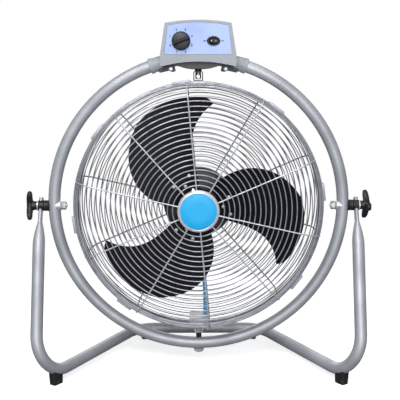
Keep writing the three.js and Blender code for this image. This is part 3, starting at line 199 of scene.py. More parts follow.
class Finish(Graph):
    """A material on the standard shader. Its patterns lie on Object coordinates."""

    def __init__(self, name, **numbers):
        self.material = bpy.data.materials.new(name)
        self.material.use_nodes = True
        super().__init__(self.material.node_tree)
        self.shader = self.tree.nodes["Principled BSDF"]
        for label, value in numbers.items():
            self.shader.inputs[label.replace("_", " ")].default_value = value
        self.place = self.node("ShaderNodeTexCoord", output="Object")

    def along(self, axis):
        """One coordinate in mm from the pivot: 0 across, 1 back, 2 up."""
        parts = self.node("ShaderNodeSeparateXYZ", {}, {0: self.place}, output=axis)
        return (parts - pivot[axis]) * 1000

    def specks(self, size, detail=2.0, stretch=(1, 1, 1)):
        """Noise whose lumps are about that many mm wide."""
        shaped = self.node("ShaderNodeMapping", {}, {"Vector": self.place, "Scale": stretch})
        sockets = {"Vector": shaped, "Scale": 1000 / size, "Detail": detail}
        return self.node("ShaderNodeTexNoise", {}, sockets)

    def grains(self, size):
        """Flat-sided cells, for flakes and moulded grain."""
        return self.node("ShaderNodeTexVoronoi", {}, {"Vector": self.place, "Scale": 1000 / size})

    def feed(self, label, value):
        self.tree.links.new(value.socket, self.shader.inputs[label])
        return self

    def tinted(self, mask, first, second, roughness, gain, share=1.0):
        """Colour and roughness that change together where the mask is."""
        self.feed("Base Color", self.blend(mask if share == 1 else mask * share, first, second))
        return self.feed("Roughness", roughness + gain * mask)

    def bump(self, height, depth, strength=1.0):
        """Height from 0 to 1 raises the surface by depth mm."""
        sockets = {"Height": height, "Distance": depth / 1000, "Strength": strength}
        return self.feed("Normal", self.node("ShaderNodeBump", {}, sockets))


def powder_coat(name, pale, dark, metallic, roughness):
    """Silver powder coat: fine flakes, orange peel, and a little dust in broad patches."""
    look = Finish(name, Metallic=metallic, Coat_Weight=0.05, Coat_Roughness=0.3)
    flakes = look.grains(0.7)
    patches = look.specks(70, 3).ramp(0.35, 0.7)
    tone = look.blend(patches * 0.6 + flakes * 0.35, pale, dark)
    look.feed("Base Color", tone)
    look.feed("Roughness", roughness + 0.08 * patches + 0.1 * flakes)
    return look.bump(look.specks(1.8, 1), 0.03, 0.15)


silver = powder_coat("silver_coat", colour(190, 193, 198), colour(160, 163, 169), 0.45, 0.42)


def soften(piece, sharp=35):
    """Merges doubles, points faces outwards and shades smooth, but for the sharp edges."""
    work = bmesh.new()
    work.from_mesh(piece.data)
    bmesh.ops.remove_doubles(work, verts=work.verts, dist=2e-6)
    bmesh.ops.recalc_face_normals(work, faces=work.faces)
    for face in work.faces:
        face.smooth = True
    for edge in work.edges:
        edge.smooth = len(edge.link_faces) == 2 and edge.calc_face_angle(4) < math.radians(sharp)
    work.to_mesh(piece.data)
    work.free()
    return piece


def made_mesh(piece):
    """The mesh that a piece's modifiers make of it."""
    bpy.context.view_layer.update()
    made = piece.evaluated_get(bpy.context.evaluated_depsgraph_get())
    return bpy.data.meshes.new_from_object(made)


def plain(piece):
    """Turns a piece with modifiers into a plain mesh."""
    mesh = made_mesh(piece)
    piece.modifiers.clear()
    piece.data = mesh
    return piece


def settle(piece, sharp=35):
    return soften(plain(piece), sharp)


def new_piece(name, points, edges, faces, finish=None):
    mesh = bpy.data.meshes.new(name)
    mesh.from_pydata(points, edges, faces)
    if finish:
        mesh.materials.append(finish.material)
    piece = bpy.data.objects.new(name, mesh)
    bpy.context.scene.collection.objects.link(piece)
    return piece


class Recipe(Graph):
    """A Geometry Nodes tree whose sizes are named inputs."""

    def __init__(self, name, **sizes):
        super().__init__(bpy.data.node_groups.new(name, "GeometryNodeTree"))
        self.labels = {}
        kinds = {int: "NodeSocketInt", float: "NodeSocketFloat", tuple: "NodeSocketVector"}
        sockets = [("Sketch", "NodeSocketGeometry", None), ("Material", "NodeSocketMaterial", None)]
        sockets += [(label, kinds[type(value)], value) for label, value in sizes.items()]
        for label, kind, value in sockets:
            made = self.tree.interface.new_socket(label, in_out="INPUT", socket_type=kind)
            self.labels[label] = made.identifier
            if value is not None:
                made.default_value = value
        self.tree.interface.new_socket("Piece", in_out="OUTPUT", socket_type="NodeSocketGeometry")
        self.given = self.tree.nodes.new("NodeGroupInput")

    def __getitem__(self, label):
        return Socket(self, self.given.outputs[label])

    def ends_in(self, shape):
        whole = self.node("GeometryNodeRealizeInstances", {}, {0: shape})
        sockets = {"Geometry": whole, "Material": self["Material"]}
        made = self.node("GeometryNodeSetMaterial", {}, sockets)
        self.node("NodeGroupOutput", {}, {0: made}, None)

    def grow(self, piece, finish, sharp=35, **sizes):
        """Runs the tree on a sketch and leaves a plain mesh."""
        grower = piece.modifiers.new("recipe", "NODES")
        grower.node_group = self.tree
        grower[self.labels["Material"]] = finish.material
        for label, value in sizes.items():
            grower[self.labels[label]] = value
        return settle(piece, sharp)


bent_tube = Recipe("bent_tube", Diameter=0.025, Sides=32)
tube_line = bent_tube.node("GeometryNodeMeshToCurve", {}, {0: bent_tube["Sketch"]})
tube_section = bent_tube.node(
    "GeometryNodeCurvePrimitiveCircle",
    {},
    {"Resolution": bent_tube["Sides"], "Radius": bent_tube["Diameter"] * 0.5},
)
bent_tube.ends_in(
    bent_tube.node(
        "GeometryNodeCurveToMesh",
        {},
        {"Curve": tube_line, "Profile Curve": tube_section, "Fill Caps": True},
    )
)


def line(name, points, closed=False):
    """A sketch line through points."""
    edges = [(i, i + 1) for i in range(len(points) - 1)]
    if closed:
        edges.append((len(points) - 1, 0))
    return new_piece(name, points, edges, [])


def bent(corners, radii, steps=12):
    """Straight runs through the corners, with a round bend at each inner one."""
    points = [corners[0]]
    for before, corner, after, radius in zip(corners, corners[1:], corners[2:], radii):
        come, go = (corner - before).normalized(), (after - corner).normalized()
        turn = come.angle(go)
        start = corner - come * radius / 1000 * math.tan(turn / 2)
        inward = (go - come * go.dot(come)).normalized()
        for step in range(steps + 1):
            angle = turn * step / steps
            reach = come * math.sin(angle) + inward * (1 - math.cos(angle))
            points.append(start + reach * radius / 1000)
    return points + [corners[-1]]


def fit(piece, body, slot, *nodes):
    """The piece moves with its body and is shown for the solids of the same part."""
    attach(piece, body)
    if nodes:
        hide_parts(*nodes)
    return piece


def leg_point(side, up):
    return at(side * leg_across, -up * leg_lean, up)


stand_corners = [
    leg_point(-1, flat_foot - flat_taper),
    at(-front_corner, leg_forward, floor_level),
    at(-rear_corner, -rear_reach, floor_level),
    at(rear_corner, -rear_reach, floor_level),
    at(front_corner, leg_forward, floor_level),
    leg_point(1, flat_foot - flat_taper),
]
leg_heights = [flat_top - (flat_top - flat_foot + flat_taper) * i / 24 for i in range(24)]
stand_line = [leg_point(-1, up) for up in leg_heights]
stand_line += bent(stand_corners, [bend_radius] * 4)
stand_line += [leg_point(1, up) for up in reversed(leg_heights)]
stand = bent_tube.grow(line("stand_frame", stand_line), silver, Diameter=tube / 1000, Sides=40)
for vertex in stand.data.vertices:
    back, up = ((vertex.co - pivot) * 1000).yz
    height = (back * leg_lean + up) / (1 + leg_lean**2)
    share = min(max((height - flat_foot + flat_taper) / flat_taper, 0), 1)
    press = 1 - math.cos(math.pi / 2 * share)
    axis = math.copysign(leg_across, vertex.co.x) / 1000
    across = 1 + (flat_thickness / tube - 1) * press
    widen = (flat_width / tube - 1) * press
    shift = (back - up * leg_lean) * widen / (1 + leg_lean**2) / 1000
    vertex.co.x = axis + (vertex.co.x - axis) * across
    vertex.co.y += shift
    vertex.co.z -= shift * leg_lean
soften(stand, 50)
fit(stand, "stand", "silver_paint", "stand_tube")

# Feet: four solid rubber blocks, moulded with a saddle that the floor tube is glued into.
# Black rubber with a fine grain and grey scuffs where they meet the floor.
def rounded(piece, width, segments=3, sharp=35):
    """Rounds the sharp edges by that many mm."""
    rounding = piece.modifiers.new("edges", "BEVEL")
    rounding.width, rounding.segments = width / 1000, segments
    rounding.limit_method, rounding.angle_limit = "ANGLE", math.radians(sharp)
    return settle(piece, sharp)


def refined(node, finish, body, slot, bevel=0.8, sharp=35, segments=3):
    """The solid's own form, merged, with rounded edges and evenly lit flat faces."""
    piece = bpy.data.objects.new(node + "_finished", frame["nodes"][node].data.copy())
    bpy.context.scene.collection.objects.link(piece)
    piece.data.materials.clear()
    piece.data.materials.append(finish.material)
    work = bmesh.new()
    work.from_mesh(piece.data)
    bmesh.ops.remove_doubles(work, verts=work.verts, dist=2e-6)
    flat = {"angle_limit": math.radians(0.6), "verts": work.verts, "edges": work.edges}
    bmesh.ops.dissolve_limit(work, **flat)
    work.to_mesh(piece.data)
    work.free()
    rounded(piece, bevel, segments, sharp)
    even = piece.modifiers.new("flat_faces", "WEIGHTED_NORMAL")
    even.keep_sharp, even.weight = True, 90
    return fit(plain(piece), body, slot, node)


rubber = Finish("foot_rubber", Specular_IOR_Level=0.3)
scuffs = rubber.specks(5, 4).ramp(0.5, 0.75) * (1 - rubber.along(2).ramp(-352, -340))
rubber.tinted(scuffs, colour(33, 33, 34), colour(84, 82, 78), 0.62, 0.25)
rubber.bump(rubber.grains(1.2), 0.08, 0.5)
for side in ("left", "right"):
    refined(f"front_foot_{side}", rubber, "stand", "rubber", 1.6)
    refined(f"rear_foot_{side}", rubber, "stand", "rubber", 1.6)

# Ring: the same tube rolled into a hoop, butt-welded under the control box, with the
# same powder coat.
ring_radius = 304.5
hoop = [
    at(ring_radius * math.cos(turn), 0, ring_radius * math.sin(turn))
    for turn in (2 * math.pi * i / 160 for i in range(160))
]
ring = bent_tube.grow(line("ring_hoop", hoop, True), silver, Diameter=tube / 1000, Sides=40)
fit(ring, "ring", "silver_paint", "ring_tube")

# Side pivots: a moulded bush on the ring and a cup over the leg's pressed end. A zinc-plated
# stud goes through both, with a nut and a saddle washer inside the ring and a plain washer
# under the clamping knob.
def lathe(name, profile, axis, finish, sides=72, centre=(0, 0, 0), squash=1.0, sharp=30):
    """A closed profile of radius and height, turned about an axis of the fan."""
    points, rings = [], []
    for radius, height in profile:
        count = sides if radius > 1e-6 else 1
        rings.append(range(len(points), len(points) + count))
        for i in range(count):
            turn = 2 * math.pi * i / sides
            first, second = radius * math.cos(turn), radius * math.sin(turn) * squash
            order = {"X": (height, first, second), "Y": (first, height, second)}
            place = order.get(axis, (first, second, height))
            points.append(at(*(p + c for p, c in zip(place, centre))))
    faces = []
    for one, two in zip(rings, rings[1:] + rings[:1]):
        if len(one) == len(two) == 1:
            continue
        for i in range(sides):
            corners = [one[i % len(one)], one[(i + 1) % len(one)]]
            corners += [two[(i + 1) % len(two)], two[i % len(two)]]
            faces.append(list(dict.fromkeys(corners)))
    return soften(new_piece(name, points, [], faces, finish), sharp)


def moulded(name, tone, worn, roughness, grain, depth):
    """Moulded plastic: a spark-eroded grain and faint handling marks."""
    look = Finish(name)
    marks = look.specks(14, 5).ramp(0.52, 0.78)
    look.tinted(marks, tone, worn, roughness, 0.12, 0.5)
    return look.bump(look.grains(grain), depth, 0.6)


black = moulded("black_plastic", colour(19, 20, 23), colour(34, 35, 39), 0.45, 0.9, 0.05)


def plated(name, pale, dark, roughness):
    """Zinc plate: bright, with a faint cloudy tint and drawn scratches."""
    look = Finish(name, Metallic=0.6)
    clouds = look.specks(6, 3).ramp(0.3, 0.7)
    look.tinted(clouds, pale, dark, roughness, 0.12)
    return look.bump(look.specks(0.8, 2, (1, 1, 6)), 0.02, 0.4)


zinc = plated("zinc_plate", colour(238, 239, 241), colour(204, 206, 210), 0.24)
bush_start, bush_end, knob_foot = ring_radius + 9.2, 325.8, 340.7


def side_lathe(name, profile, sign, finish, sides=72, squash=1.0):
    """A turned piece on the tilt axis, at the left (-1) or the right (1)."""
    profile = [(radius, sign * across) for radius, across in profile]
    return lathe(name, profile, "X", finish, sides, squash=squash)


for side, sign in (("left", -1), ("right", 1)):
    neck = [(4.4, bush_start), (12.6, bush_start), (12.2, bush_start + 1), (11.2, bush_start + 7)]
    neck += [(11.5, bush_end - 1), (11.0, bush_end), (4.4, bush_end)]
    bush = side_lathe(f"inner_bush_{side}_turned", neck, sign, black)
    fit(bush, "ring", "black_plastic", f"inner_bush_{side}")
    cup = [(4.4, 326.1), (10.9, 326.1), (11.5, 326.7), (11.5, 337.1), (10.9, 337.7), (4.4, 337.7)]
    cup = side_lathe(f"outer_bush_{side}_turned", cup, sign, black)
    fit(cup, "stand", "black_plastic", f"outer_bush_{side}")
    saddle = [(4.4, 288), (8.5, 288), (10.8, 289), (12.2, 291), (12.2, 302.5), (4.4, 302.5)]
    washer = side_lathe(f"saddle_washer_{side}_turned", saddle, sign, zinc, squash=0.85)
    fit(washer, "ring", "zinc", f"saddle_washer_{side}")
    refined(f"stud_nut_{side}", zinc, "ring", "zinc", 0.7)
    disc = [(4.4, 337.8), (10.7, 337.8), (11, 338.1), (11, 340.1), (10.7, 340.4), (4.4, 340.4)]
    washer = side_lathe(f"knob_washer_{side}_turned", disc, sign, zinc)
    fit(washer, "stand", "zinc", f"knob_washer_{side}")
    thread = [(0, 277.7), (3.4, 277.7), (4, 278.5), (4, 351.2), (0, 351.2)]
    stud = side_lathe(f"clamp_stud_{side}_turned", thread, sign, zinc, 32)
    fit(stud, f"knob_{side}", "zinc", f"clamp_stud_{side}")

# Clamping knobs: three-armed grips of black plastic moulded round the head of the stud.
# Each arm droops towards the leg a little, and all edges are rounded for the fingers.
arm_reach, arm_half, head_foot, head_height = 34, 6.7, 9, 12.5


def knob_radius(angle):
    """Distance from the axis to the rim of three arms, with soft webs between them."""
    lean = abs((math.degrees(angle) + 60) % 120 - 60)
    lean = max(math.radians(lean), 1e-4)
    tip = arm_reach - arm_half
    inside = arm_half**2 - (tip * math.sin(lean)) ** 2
    arm = tip * math.cos(lean) + math.sqrt(inside) if inside > 0 else 1e9
    arm = min(arm, 1.1 * arm_half / math.sin(lean))
    return (arm**6 + 12**6) ** (1 / 6)


head_levels = [(0, 4.2), (0.5, 2.4), (1.8, 0.8), (3.6, 0), (8.6, 0), (10.4, 0.8)]
head_levels += [(11.7, 2.4), (12.3, 4.4), (12.5, 6)]
for side, sign, first_arm in (("left", -1, 70), ("right", 1, 0)):
    points, faces, steps = [], [], 144
    for height, inset in head_levels:
        for i in range(steps):
            angle = 2 * math.pi * i / steps
            radius = knob_radius(angle - math.radians(first_arm)) - inset
            out = radius / arm_reach
            level = head_height / 2 + (height - head_height / 2) * (1 - 0.28 * out)
            level += knob_foot + head_foot - 2.2 * out * out
            points.append(at(sign * level, radius * math.cos(angle), radius * math.sin(angle)))
    for level in range(len(head_levels) - 1):
        for i in range(steps):
            near, far = level * steps + i, level * steps + (i + 1) % steps
            faces.append((near, far, far + steps, near + steps))
    faces += [range(steps), range(len(points) - steps, len(points))]
    grip = soften(new_piece(f"clamp_knob_{side}_grip", points, [], faces, black), 60)
    neck = [(4.2, 340.7), (8.9, 340.7), (9.4, 341.3), (9.2, 346), (11.2, 351), (4.2, 351)]
    sleeve = side_lathe(f"clamp_knob_{side}_neck", neck, sign, black)
    fit(sleeve, f"knob_{side}", "black_plastic", f"clamp_knob_{side}")
    fit(grip, f"knob_{side}", "black_plastic", f"clamp_knob_{side}")

# Rim band: a strip of steel rolled into a hoop with a shallow bead and a lip folded inwards
# at the front. It holds the two wire guards together, with eight spring-steel clips that are
# folded over the rims of both.
band_radius, band_wall, band_rear, band_front = 259, 1.5, 7.5, 35.5
rim_wire = 4.5
rim_centre = band_radius - 0.4 - rim_wire / 2 - 0.3
front_rim, rear_rim = band_front + 0.3 + rim_wire / 2, band_rear - 0.3 - rim_wire / 2


def section(t):
    """How far the strip is rolled in across its width, 0 at the edges."""
    return 1.0 * math.sin(math.pi * t) ** 2


band_steps = [i / 12 for i in range(13)]
band_profile = [
    (band_radius - section(t), band_rear + t * (band_front - band_rear)) for t in band_steps
]
band_inside = [(r - band_wall, f) for r, f in reversed(band_profile)]
band_lip, band_fold = 250, band_front - 1.3
band_profile += [(band_lip, band_front), (band_lip, band_fold)]
band_profile += [(band_radius - band_wall, band_fold)]
band_coat = powder_coat("band_coat", colour(206, 208, 213), colour(180, 183, 189), 0.3, 0.45)
band = lathe("rim_band_rolled", band_profile + band_inside[1:], "Y", band_coat, 192)

round_axis = Recipe("round_axis", Centre=(0.0, 0.0, 0.0), Count=8, Phase=0.0)
part_home = round_axis.node(
    "GeometryNodeTransform",
    {},
    {
        "Geometry": round_axis["Sketch"],
        "Translation": round_axis.node(
            "ShaderNodeVectorMath", {"operation": "SCALE"}, {0: round_axis["Centre"], "Scale": -1.0}
        ),
    },
)
part_spots = round_axis.node(
    "GeometryNodeMeshLine",
    {},
    {"Count": round_axis["Count"], "Start Location": round_axis["Centre"], "Offset": (0, 0, 0)},
)
part_index = round_axis.node("GeometryNodeInputIndex")
part_turn = -1 * (round_axis["Phase"] + part_index * (2 * math.pi) / round_axis["Count"])
part_spin = round_axis.node(
    "FunctionNodeAxisAngleToRotation", {}, {"Axis": (0, 1, 0), "Angle": part_turn}
)
round_axis.ends_in(
    round_axis.node(
        "GeometryNodeInstanceOnPoints",
        {},
        {"Points": part_spots, "Instance": part_home, "Rotation": part_spin},
    )
)


def prism(name, outline, start, end, finish, place):
    """A closed outline drawn out between two values of the third coordinate."""
    count = len(outline)
    points = [place(a, b, depth) for depth in (start, end) for a, b in outline]
    faces = [range(count), range(count, 2 * count)]
    faces += [(i, (i + 1) % count, count + (i + 1) % count, count + i) for i in range(count)]
    return soften(new_piece(name, points, [], faces, finish))


def joined(name, pieces):
    """Several pieces that are welded or printed as one."""
    whole = bmesh.new()
    finishes = []
    for piece in pieces:
        start = len(whole.faces)
        whole.from_mesh(piece.data)
        whole.faces.ensure_lookup_table()
        slots = list(piece.data.materials)
        finishes += [m for m in slots if m not in finishes]
        for face in whole.faces[start:]:
            face.material_index = finishes.index(slots[face.material_index])
    made = new_piece(name, [], [], [])
    whole.to_mesh(made.data)
    whole.free()
    for material in finishes:
        made.data.materials.append(material)
    for piece in pieces:
        bpy.data.objects.remove(piece)
    return made


clip_out, clip_in, clip_lip, clip_sheet = 261.7, 258.6, rim_centre, 2.4
clip_front, clip_rear = front_rim + rim_wire / 2 + 0.3, rear_rim - rim_wire / 2 - 0.3
clip_outline = [
    (clip_front + clip_sheet, clip_lip),
    (clip_front + clip_sheet, clip_out),
    (clip_rear - clip_sheet, clip_out),
    (clip_rear - clip_sheet, clip_lip),
    (clip_rear, clip_lip),
    (clip_rear, clip_in),
    (clip_front, clip_in),
    (clip_front, clip_lip),
]
clip = prism("clip", clip_outline, -18, 18, silver, lambda f, r, s: at(r, f, s))
clip = rounded(clip, 1.1, 3)
clip_count, clip_phase = 8, math.radians(7.5)
clips = round_axis.grow(clip, silver, Centre=tuple(pivot), Count=clip_count, Phase=clip_phase)
fit(joined("rim_band_and_clips", [band, clips]), "head", "silver_paint", "rim_band")

# Front guard: rings of bright-coated steel wire, spot-welded behind ten radial wires that
# bend back over the corner to a thicker rim wire.
guard_wire, spoke_wire, ring_pitch = 2.3, 2.9, 10.5
front_plane, flat_radius, first_ring = 70, 210, 31.5
spoke_count, spoke_phase = 10, math.radians(23.2)

wire_rings = Recipe("wire_rings", Diameter=0.0023, Sides=8, Segments=128)
ring_point = wire_rings.node("GeometryNodeInputPosition")
ring_size = wire_rings.node("ShaderNodeSeparateXYZ", {}, {0: ring_point})
unit_ring = wire_rings.node(
    "GeometryNodeCurvePrimitiveCircle", {}, {"Resolution": wire_rings["Segments"], "Radius": 1.0}
)
unit_turn = wire_rings.node(
    "FunctionNodeAxisAngleToRotation", {}, {"Axis": (1, 0, 0), "Angle": math.pi / 2}
)
ring_set = wire_rings.node(
    "GeometryNodeInstanceOnPoints",
    {},
    {
        "Points": wire_rings["Sketch"],
        "Instance": unit_ring,
        "Rotation": unit_turn,
        "Scale": wire_rings.node(
            "ShaderNodeCombineXYZ", {}, {0: ring_size, 1: ring_size, 2: ring_size}
        ),
    },
)
ring_shift = wire_rings.node("ShaderNodeCombineXYZ", {}, {0: -1 * ring_size})
ring_centred = wire_rings.node(
    "GeometryNodeTranslateInstances",
    {},
    {"Instances": ring_set, "Translation": ring_shift, "Local Space": False},
)
ring_lines = wire_rings.node("GeometryNodeRealizeInstances", {}, {0: ring_centred})
ring_section = wire_rings.node(
    "GeometryNodeCurvePrimitiveCircle",
    {},
    {"Resolution": wire_rings["Sides"], "Radius": wire_rings["Diameter"] * 0.5},
)
wire_rings.ends_in(
    wire_rings.node(
        "GeometryNodeCurveToMesh", {}, {"Curve": ring_lines, "Profile Curve": ring_section}
    )
)


def ring_sketch(name, places):
    """One sketch point for each ring: its radius across, its plane forward."""
    return new_piece(name, [at(radius, forward, 0) for radius, forward in places], [], [])


def wire_coat(name, pale, dark):
    """Bright coating on wire: smooth, slightly uneven, dull where dust has settled."""
    look = Finish(name, Metallic=0.5, Coat_Weight=0.15, Coat_Roughness=0.25)
    dull = look.specks(18, 4).ramp(0.4, 0.75)
    look.tinted(dull, pale, dark, 0.34, 0.2)
    return look.bump(look.specks(1.5, 2), 0.03, 0.4)


bright_wire = wire_coat("bright_wire", colour(178, 180, 188), colour(136, 139, 146))
# The radial wires are the same coated wire as the rings, painted lighter here as painted highlight.
radial_wire = wire_coat("radial_wire", colour(208, 210, 216), colour(176, 179, 186))


def guard_corner(share, out=0.0):
    """Quarter ellipse from the flat front back to the rim wire: radius and forward."""
    turn = share * math.pi / 2
    across, deep = rim_centre - flat_radius + out, front_plane - front_rim + out
    return flat_radius + across * math.sin(turn), front_rim + deep * math.cos(turn)


lift = (guard_wire + spoke_wire) / 2 - 0.4
flat_count = int((flat_radius - first_ring) / ring_pitch) + 1
flat_rings = [(first_ring + ring_pitch * i, front_plane) for i in range(flat_count)]
corner_shares = [0.145, 0.3, 0.48, 0.63, 0.77, 0.9]
front_places = flat_rings + [guard_corner(share) for share in corner_shares]
front_rings = ring_sketch("front_rings", front_places)
wire_rings.grow(front_rings, bright_wire, Diameter=guard_wire / 1000, Segments=144)
rim = ring_sketch("front_rim", [(rim_centre, front_rim)])
wire_rings.grow(rim, bright_wire, Diameter=rim_wire / 1000, Sides=12, Segments=160)
spoke_line = [at(first_ring - 1, front_plane + lift, 0), at(flat_radius, front_plane + lift, 0)]
for step in range(1, 17):
    radius, forward = guard_corner(step / 16, lift)
    if radius < rim_centre + 0.3:
        spoke_line.append(at(radius, forward, 0))
spoke_line.append(at(rim_centre, front_rim + 1.2, 0))
spoke = bent_tube.grow(line("spoke", spoke_line), radial_wire, Diameter=spoke_wire / 1000, Sides=10)
round_axis.grow(spoke, radial_wire, Centre=tuple(pivot), Count=spoke_count, Phase=spoke_phase)
front_guard = joined("front_guard_wires", [front_rings, rim, spoke])
fit(front_guard, "head", "wire_silver", "front_guard")

# Rear guard: rings at the same pitch on ten radial wires, bent forward round the side to
# its own rim wire, and welded to a pressed plate that the motor is bolted to.
rear_plane, rear_flat, rear_round = -55, 235, 20
plate_radius, plate_bore, plate_sheet = 76, 61, 2
# The rear guard's wire is the same coated wire, painted darker here as painted shade.
shaded_rear_wire = wire_coat("rear_wire", colour(128, 130, 136), colour(98, 100, 106))
rear_places = [(rear_flat - ring_pitch * i, rear_plane) for i in range(15)]
for degree in (30, 65):
    turn = math.radians(degree)
    reach = rear_flat + rear_round * math.sin(turn)
    rear_places.append((reach, rear_plane + rear_round * (1 - math.cos(turn))))
rear_places += [(rear_flat + rear_round, forward) for forward in (-24, -6)]
rear_rings = ring_sketch("rear_rings", rear_places)
wire_rings.grow(rear_rings, shaded_rear_wire, Diameter=guard_wire / 1000, Segments=144)
rear_rim_ring = ring_sketch("rear_rim", [(rim_centre, rear_rim)])
wire_rings.grow(rear_rim_ring, shaded_rear_wire, Diameter=rim_wire / 1000, Sides=12, Segments=160)
rear_line = [at(plate_radius - 5.8, rear_plane - lift, 0), at(rear_flat, rear_plane - lift, 0)]
for degree in range(15, 91, 15):
    turn = math.radians(degree)
    reach = rear_round + lift
    out, deep = rear_flat + reach * math.sin(turn), reach * (1 - math.cos(turn)) - lift
    rear_line.append(at(out, rear_plane + deep, 0))
rear_line.append(at(rear_flat + rear_round + lift, rear_rim - 6, 0))
rear_line.append(at(rim_centre, rear_rim - 0.6, 0))
rear_spoke = bent_tube.grow(
    line("rear_spoke", rear_line), shaded_rear_wire, Diameter=spoke_wire / 1000, Sides=10
)
round_axis.grow(rear_spoke, shaded_rear_wire, Centre=tuple(pivot), Count=spoke_count, Phase=spoke_phase)
plate_profile = [
    (plate_bore, rear_plane - plate_sheet),
    (plate_radius - 0.5, rear_plane - plate_sheet),
    (plate_radius, rear_plane - plate_sheet + 0.5),
    (plate_radius, rear_plane - 0.5),
    (plate_radius - 0.5, rear_plane),
    (plate_bore, rear_plane),
]
plate = lathe("mount_plate", plate_profile, "Y", silver, 96)
rear_guard = joined("rear_guard_wires", [rear_rings, rear_rim_ring, rear_spoke, plate])
fit(rear_guard, "head", "wire_silver", "rear_guard")

# Head carriers: a joggled strap above and below, welded to the band, each with a bent
# channel that holds the swing shaft or the bottom bolt. The straps are coated, the upper
# channel is dull steel, and the lower one and the bolt are zinc-plated.
refined("top_strap", silver, "head", "silver_paint", 0.5)
refined("bottom_strap", silver, "head", "silver_paint", 0.5)
bracket_steel = plated("bracket_steel", colour(64, 66, 70), colour(46, 48, 52), 0.4)
refined("top_bracket", bracket_steel, "head", "steel", 0.5)
refined("bottom_bracket", zinc, "head", "zinc", 0.5)
shaft_foot, shaft_top, pin_level = 263.3, 327, 267.8
shaft_profile = [(0, shaft_foot), (5.2, shaft_foot), (6, shaft_foot + 0.8)]
shaft_profile += [(6, shaft_top - 0.8), (5.2, shaft_top), (0, shaft_top)]
shaft_steel = plated("shaft_steel", colour(150, 152, 156), colour(118, 120, 124), 0.34)
shaft = lathe("swing_shaft_turned", shaft_profile, "Z", shaft_steel, 48)
pin_profile = [(0, -6), (3, -6), (3, 5), (4.4, 5.2), (4.2, 7), (3.2, 7.8), (1.3, 7.8)]
pin_profile += [(0.9, 7.1), (0, 7.1)]
pin = lathe("swing_pin", pin_profile, "Y", zinc, 32, (0, 0, pin_level))
fit(joined("swing_shaft_and_pin", [shaft, pin]), "head", "zinc", "swing_shaft")
dome = [(0, -317.3), (11, -317.3), (11, -320.3), (9.6, -322.6), (7.4, -324.2)]
dome += [(4, -325.3), (0, -325.6)]
bolt_head = lathe("bottom_bolt_head", dome, "Z", zinc, 48)
shank = lathe("bottom_shank", [(0, -316), (4, -316), (4, -264.3), (0, -264.3)], "Z", zinc, 32)
fit(joined("bottom_bolt_turned", [bolt_head, shank]), "ring", "zinc", "bottom_bolt")
refined("bottom_nut", zinc, "ring", "zinc", 0.6)
spacer = [(4.4, -279.6), (5.4, -279.6), (5.8, -280), (5.8, -291.4), (5.4, -291.8), (4.4, -291.8)]
spacer = lathe("bottom_spacer_turned", spacer, "Z", black, 40)
fit(spacer, "ring", "black_plastic", "bottom_spacer")
bush = [(6.4, 279.6), (7.1, 279.6), (7.4, 279.9), (7.4, 292), (6.4, 292)]
fit(lathe("top_bush_turned", bush, "Z", black, 48), "ring", "black_plastic", "top_bush")

# Motor: two die-cast end shells clamped on the plate of the rear guard, painted dark grey,
# with cooling slots behind. Inside: wound stator, ball bearings and the rotor on its shaft.
motor_radius, motor_rear_radius, motor_front, motor_rear, shoulder = 76, 64, -25, -95, 14


def round_corner(radius, end, sign, steps=6):
    """The shell's rounded shoulder, from its side to its end face."""
    points = []
    for step in range(steps + 1):
        turn = step / steps * math.pi / 2
        across = radius - shoulder + shoulder * math.cos(turn)
        points.append((across, end - sign * (shoulder - shoulder * math.sin(turn))))
    return points


cast = Finish("cast_motor", Metallic=0.35, Coat_Weight=0.1)
cast_patch = cast.specks(22, 4).ramp(0.4, 0.75)
cast.tinted(cast_patch, colour(66, 68, 70), colour(52, 54, 57), 0.46, 0.16)
cast.bump(cast.specks(1.4, 4), 0.12, 0.6)
front_cap = [(73, -54.7), (75.5, -54.7), (76, -54.2)]
front_cap += round_corner(motor_radius, motor_front - 4, 1)
front_cap += [(26.3, -29), (24.5, -28.4), (23.3, -25.6), (22.6, -25), (7.5, -25), (7.5, -28)]
front_cap += [(16.3, -28), (16.3, -37), (20.3, -37), (22.3, -32), (62, -32), (69, -35)]
front_cap += [(72, -39), (73, -43)]
motor_cap = lathe("motor_front_turned", front_cap, "Y", cast, 96)
fit(motor_cap, "head", "motor_grey", "motor_front_shell")
rear_cap = [(61, -57.3), (66.5, -57.3), (67, -57.8), (67, -59.8), (66.5, -60.3)]
rear_cap += [(65, -60.3), (64, -61.3)]
rear_cap += round_corner(motor_rear_radius, motor_rear, -1)
rear_cap += [(0, -95), (0, -92), (16.3, -92), (16.3, -83), (20.3, -83), (22.3, -92)]
rear_cap += [(50, -92), (57, -88), (61, -81)]
motor_back = lathe("motor_rear_turned", rear_cap, "Y", cast, 96)
slot_shape = [(26.6, -2.5), (47.6, -2.5), (50.1, 0), (47.6, 2.5), (26.6, 2.5), (24.1, 0)]
slot_tool = prism("slot_tool", slot_shape, -84, -102, cast, lambda a, b, f: at(a, f, b))
slot_tool = round_axis.grow(slot_tool, cast, Centre=tuple(pivot), Count=8, Phase=0.0)

cut = motor_back.modifiers.new("slots", "BOOLEAN")
cut.object, cut.operation, cut.solver = slot_tool, "DIFFERENCE", "EXACT"
settle(motor_back, 30)
bpy.data.objects.remove(slot_tool)
fit(motor_back, "head", "motor_grey", "motor_rear_shell")


def clad(finish, *nodes):
    """The solid itself is shown, in that finish."""
    for node in nodes:
        mesh = frame["nodes"][node].data
        mesh.materials.clear()
        mesh.materials.append(finish.material)


windings = Finish("windings", Metallic=0.5, Coat_Weight=0.5)
strands = windings.specks(0.9, 1, (1, 0.15, 1)).ramp(0.35, 0.65)
windings.tinted(strands, colour(118, 66, 32), colour(178, 108, 60), 0.3, 0.2)
windings.bump(strands, 0.3, 0.8)
clad(windings, "stator")
ground = plated("ground_steel", colour(196, 197, 200), colour(160, 162, 166), 0.25)
clad(ground, "rotor_shaft", "front_bearing", "rear_bearing", "swing_motor")

